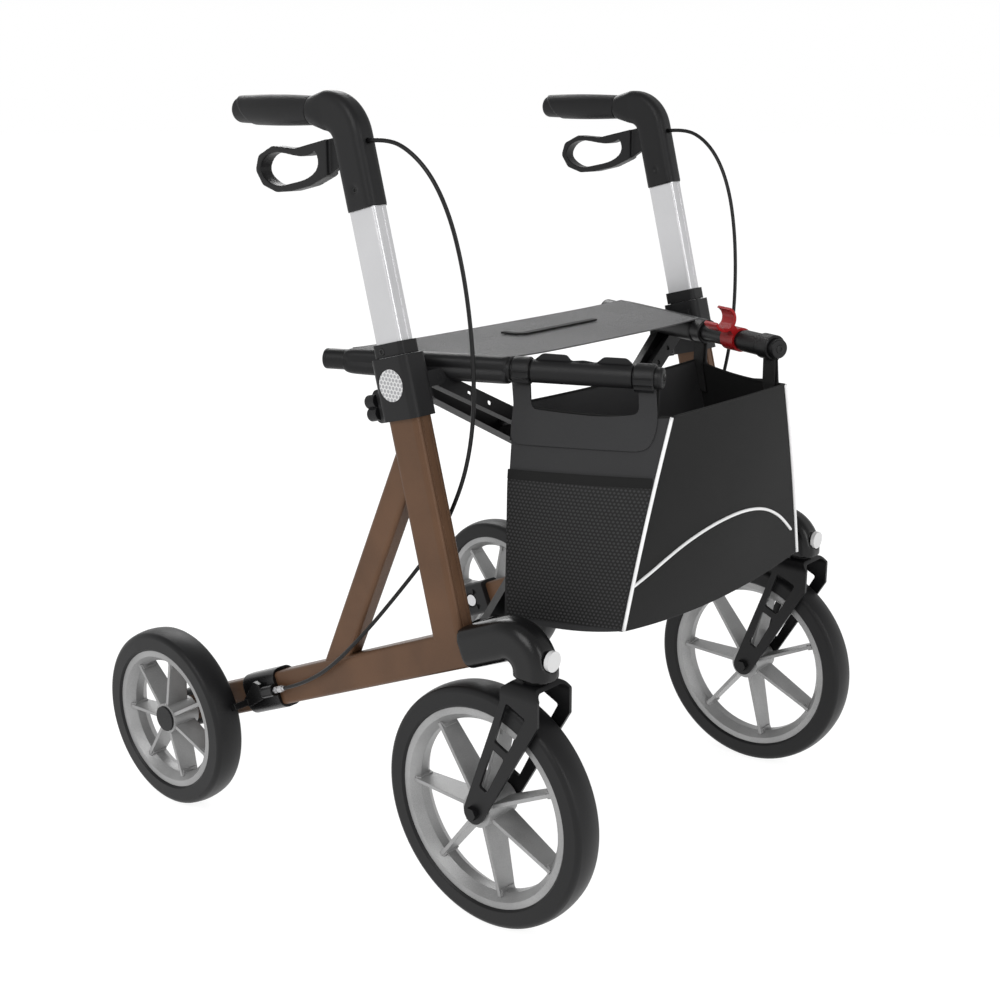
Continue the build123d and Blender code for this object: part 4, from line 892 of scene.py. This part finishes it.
def sleeve(name, side, start, end, radius, ribs=0.0):
    """A short sleeve round the seat tube, with ribs on the lower half of its outer side."""
    rows = []
    stations = [(start, 0.93), (start + 1.2, 1.0), ((start + end) / 2, 1.0), (end - 1.2, 1.0), (end, 0.93)]
    for along, size in stations:
        row = []
        for k in range(72):
            angle = 2 * pi * k / 72
            low_side = -1.5 < (angle if angle < pi else angle - 2 * pi) < 0.15
            bump = ribs * max(0.0, sin(angle * 14)) if low_side else 0.0
            row.append(on_tube(side, along, angle, (radius + bump) * size))
        rows.append(row)
    inner = [[on_tube(side, along, 2 * pi * k / 72, TUBE_RADIUS) for k in range(72)]
             for along in (end, start)]
    piece = panel(name, rows + inner + [rows[0]], 0, [moulded_black], closed=True)
    mesh = bmesh.new()
    mesh.from_mesh(piece.data)
    bmesh.ops.remove_doubles(mesh, verts=mesh.verts, dist=1e-6)
    bmesh.ops.recalc_face_normals(mesh, faces=mesh.faces)
    mesh.to_mesh(piece.data)
    mesh.free()
    piece.data.set_sharp_from_angle(angle=radians(35))
    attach(piece, TUBE_BODY[side])
    return piece


for side in SIDES:
    sleeve("front_clip_" + side, side, 4, 27, 15.6, 1.3)
    sleeve("rear_clip_" + side, side, 146, 166, 15.6, 1.3)
    sleeve("tube_collar_" + side, side, 168, 177, 13.6)
sleeve("tongue_sleeve", "right", 28, 145, 13.2)
sleeve("far_sleeve", "left", 28, 66, 13.6)
for side in SIDES:
    forwards = on_tube(side, -9, 0, 0) - on_tube(side, 0, 0, 0)
    screw("cap_screw_" + side, on_tube(side, -5.2, 0, 0), forwards, 5.5, TUBE_BODY[side])
TONGUE = [(30, 11), (30, 14), (37, 20), (63, 20), (71, 13), (86, 15), (100, 13.5), (105, 20),
          (133, 20.5), (142, 13), (143, 11)]
tongue_line = rounded([(along, rise, 3) for along, rise in TONGUE], 3)
faces = [tuple(range(len(tongue_line)))]
places = [on_tube("right", p.x, pi / 2, p.y) for p in tongue_line]
tongue = new_piece("tongue", places, faces, [moulded_black])
spread(tongue, 2.0)
settle(tongue)
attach(tongue, "cross_b")
print("tube fittings made")

# %% [markdown]
# ## Brake cables
# A brake cable is a fixed length of stiff, sprung housing. It leaves the handle forwards, falls in a long
# loop that leaves room for the handle to be raised, passes inside the frame and ends in the brake's
# adjuster. Its route is a NURBS line over the points of the drawing, and a round tube follows it.

# %% Cables
CABLE_ROUTE = [
    (0, 171.5, 871.0), (1, 143, 873.5), (3, 112, 862), (7, 84, 836), (11, 63, 796), (15, 50, 746),
    (19, 43, 690), (23, 41, 630), (27, 46, 570), (29, 60, 512), (28, 82, 462), (22, 103, 420),
    (9, 124, 386), (-5, 146, 352), (-14, 170, 320), (-20, 196, 290), (-22.5, 226, 260), (-23, 258, 234),
    (-23.9, 297.6, 210.5), (-23.9, 321.6, 200.3),
]
CABLE_WIDE = 4.8
cable_jacket = finish("cable_jacket", (0.006, 0.006, 0.0063), 0.33, grain=0.05, extra=DULL)
for side, sign in SIDES.items():
    line = smooth_line([at(sign * (FRAME_X - x), y, z) for x, y, z in CABLE_ROUTE], 8)
    cable = tube("cable_" + side, line, CABLE_WIDE / 2, cable_jacket)
    dress(cable, cable_jacket)
    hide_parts(side + "_brake_cable")
    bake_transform(cable)
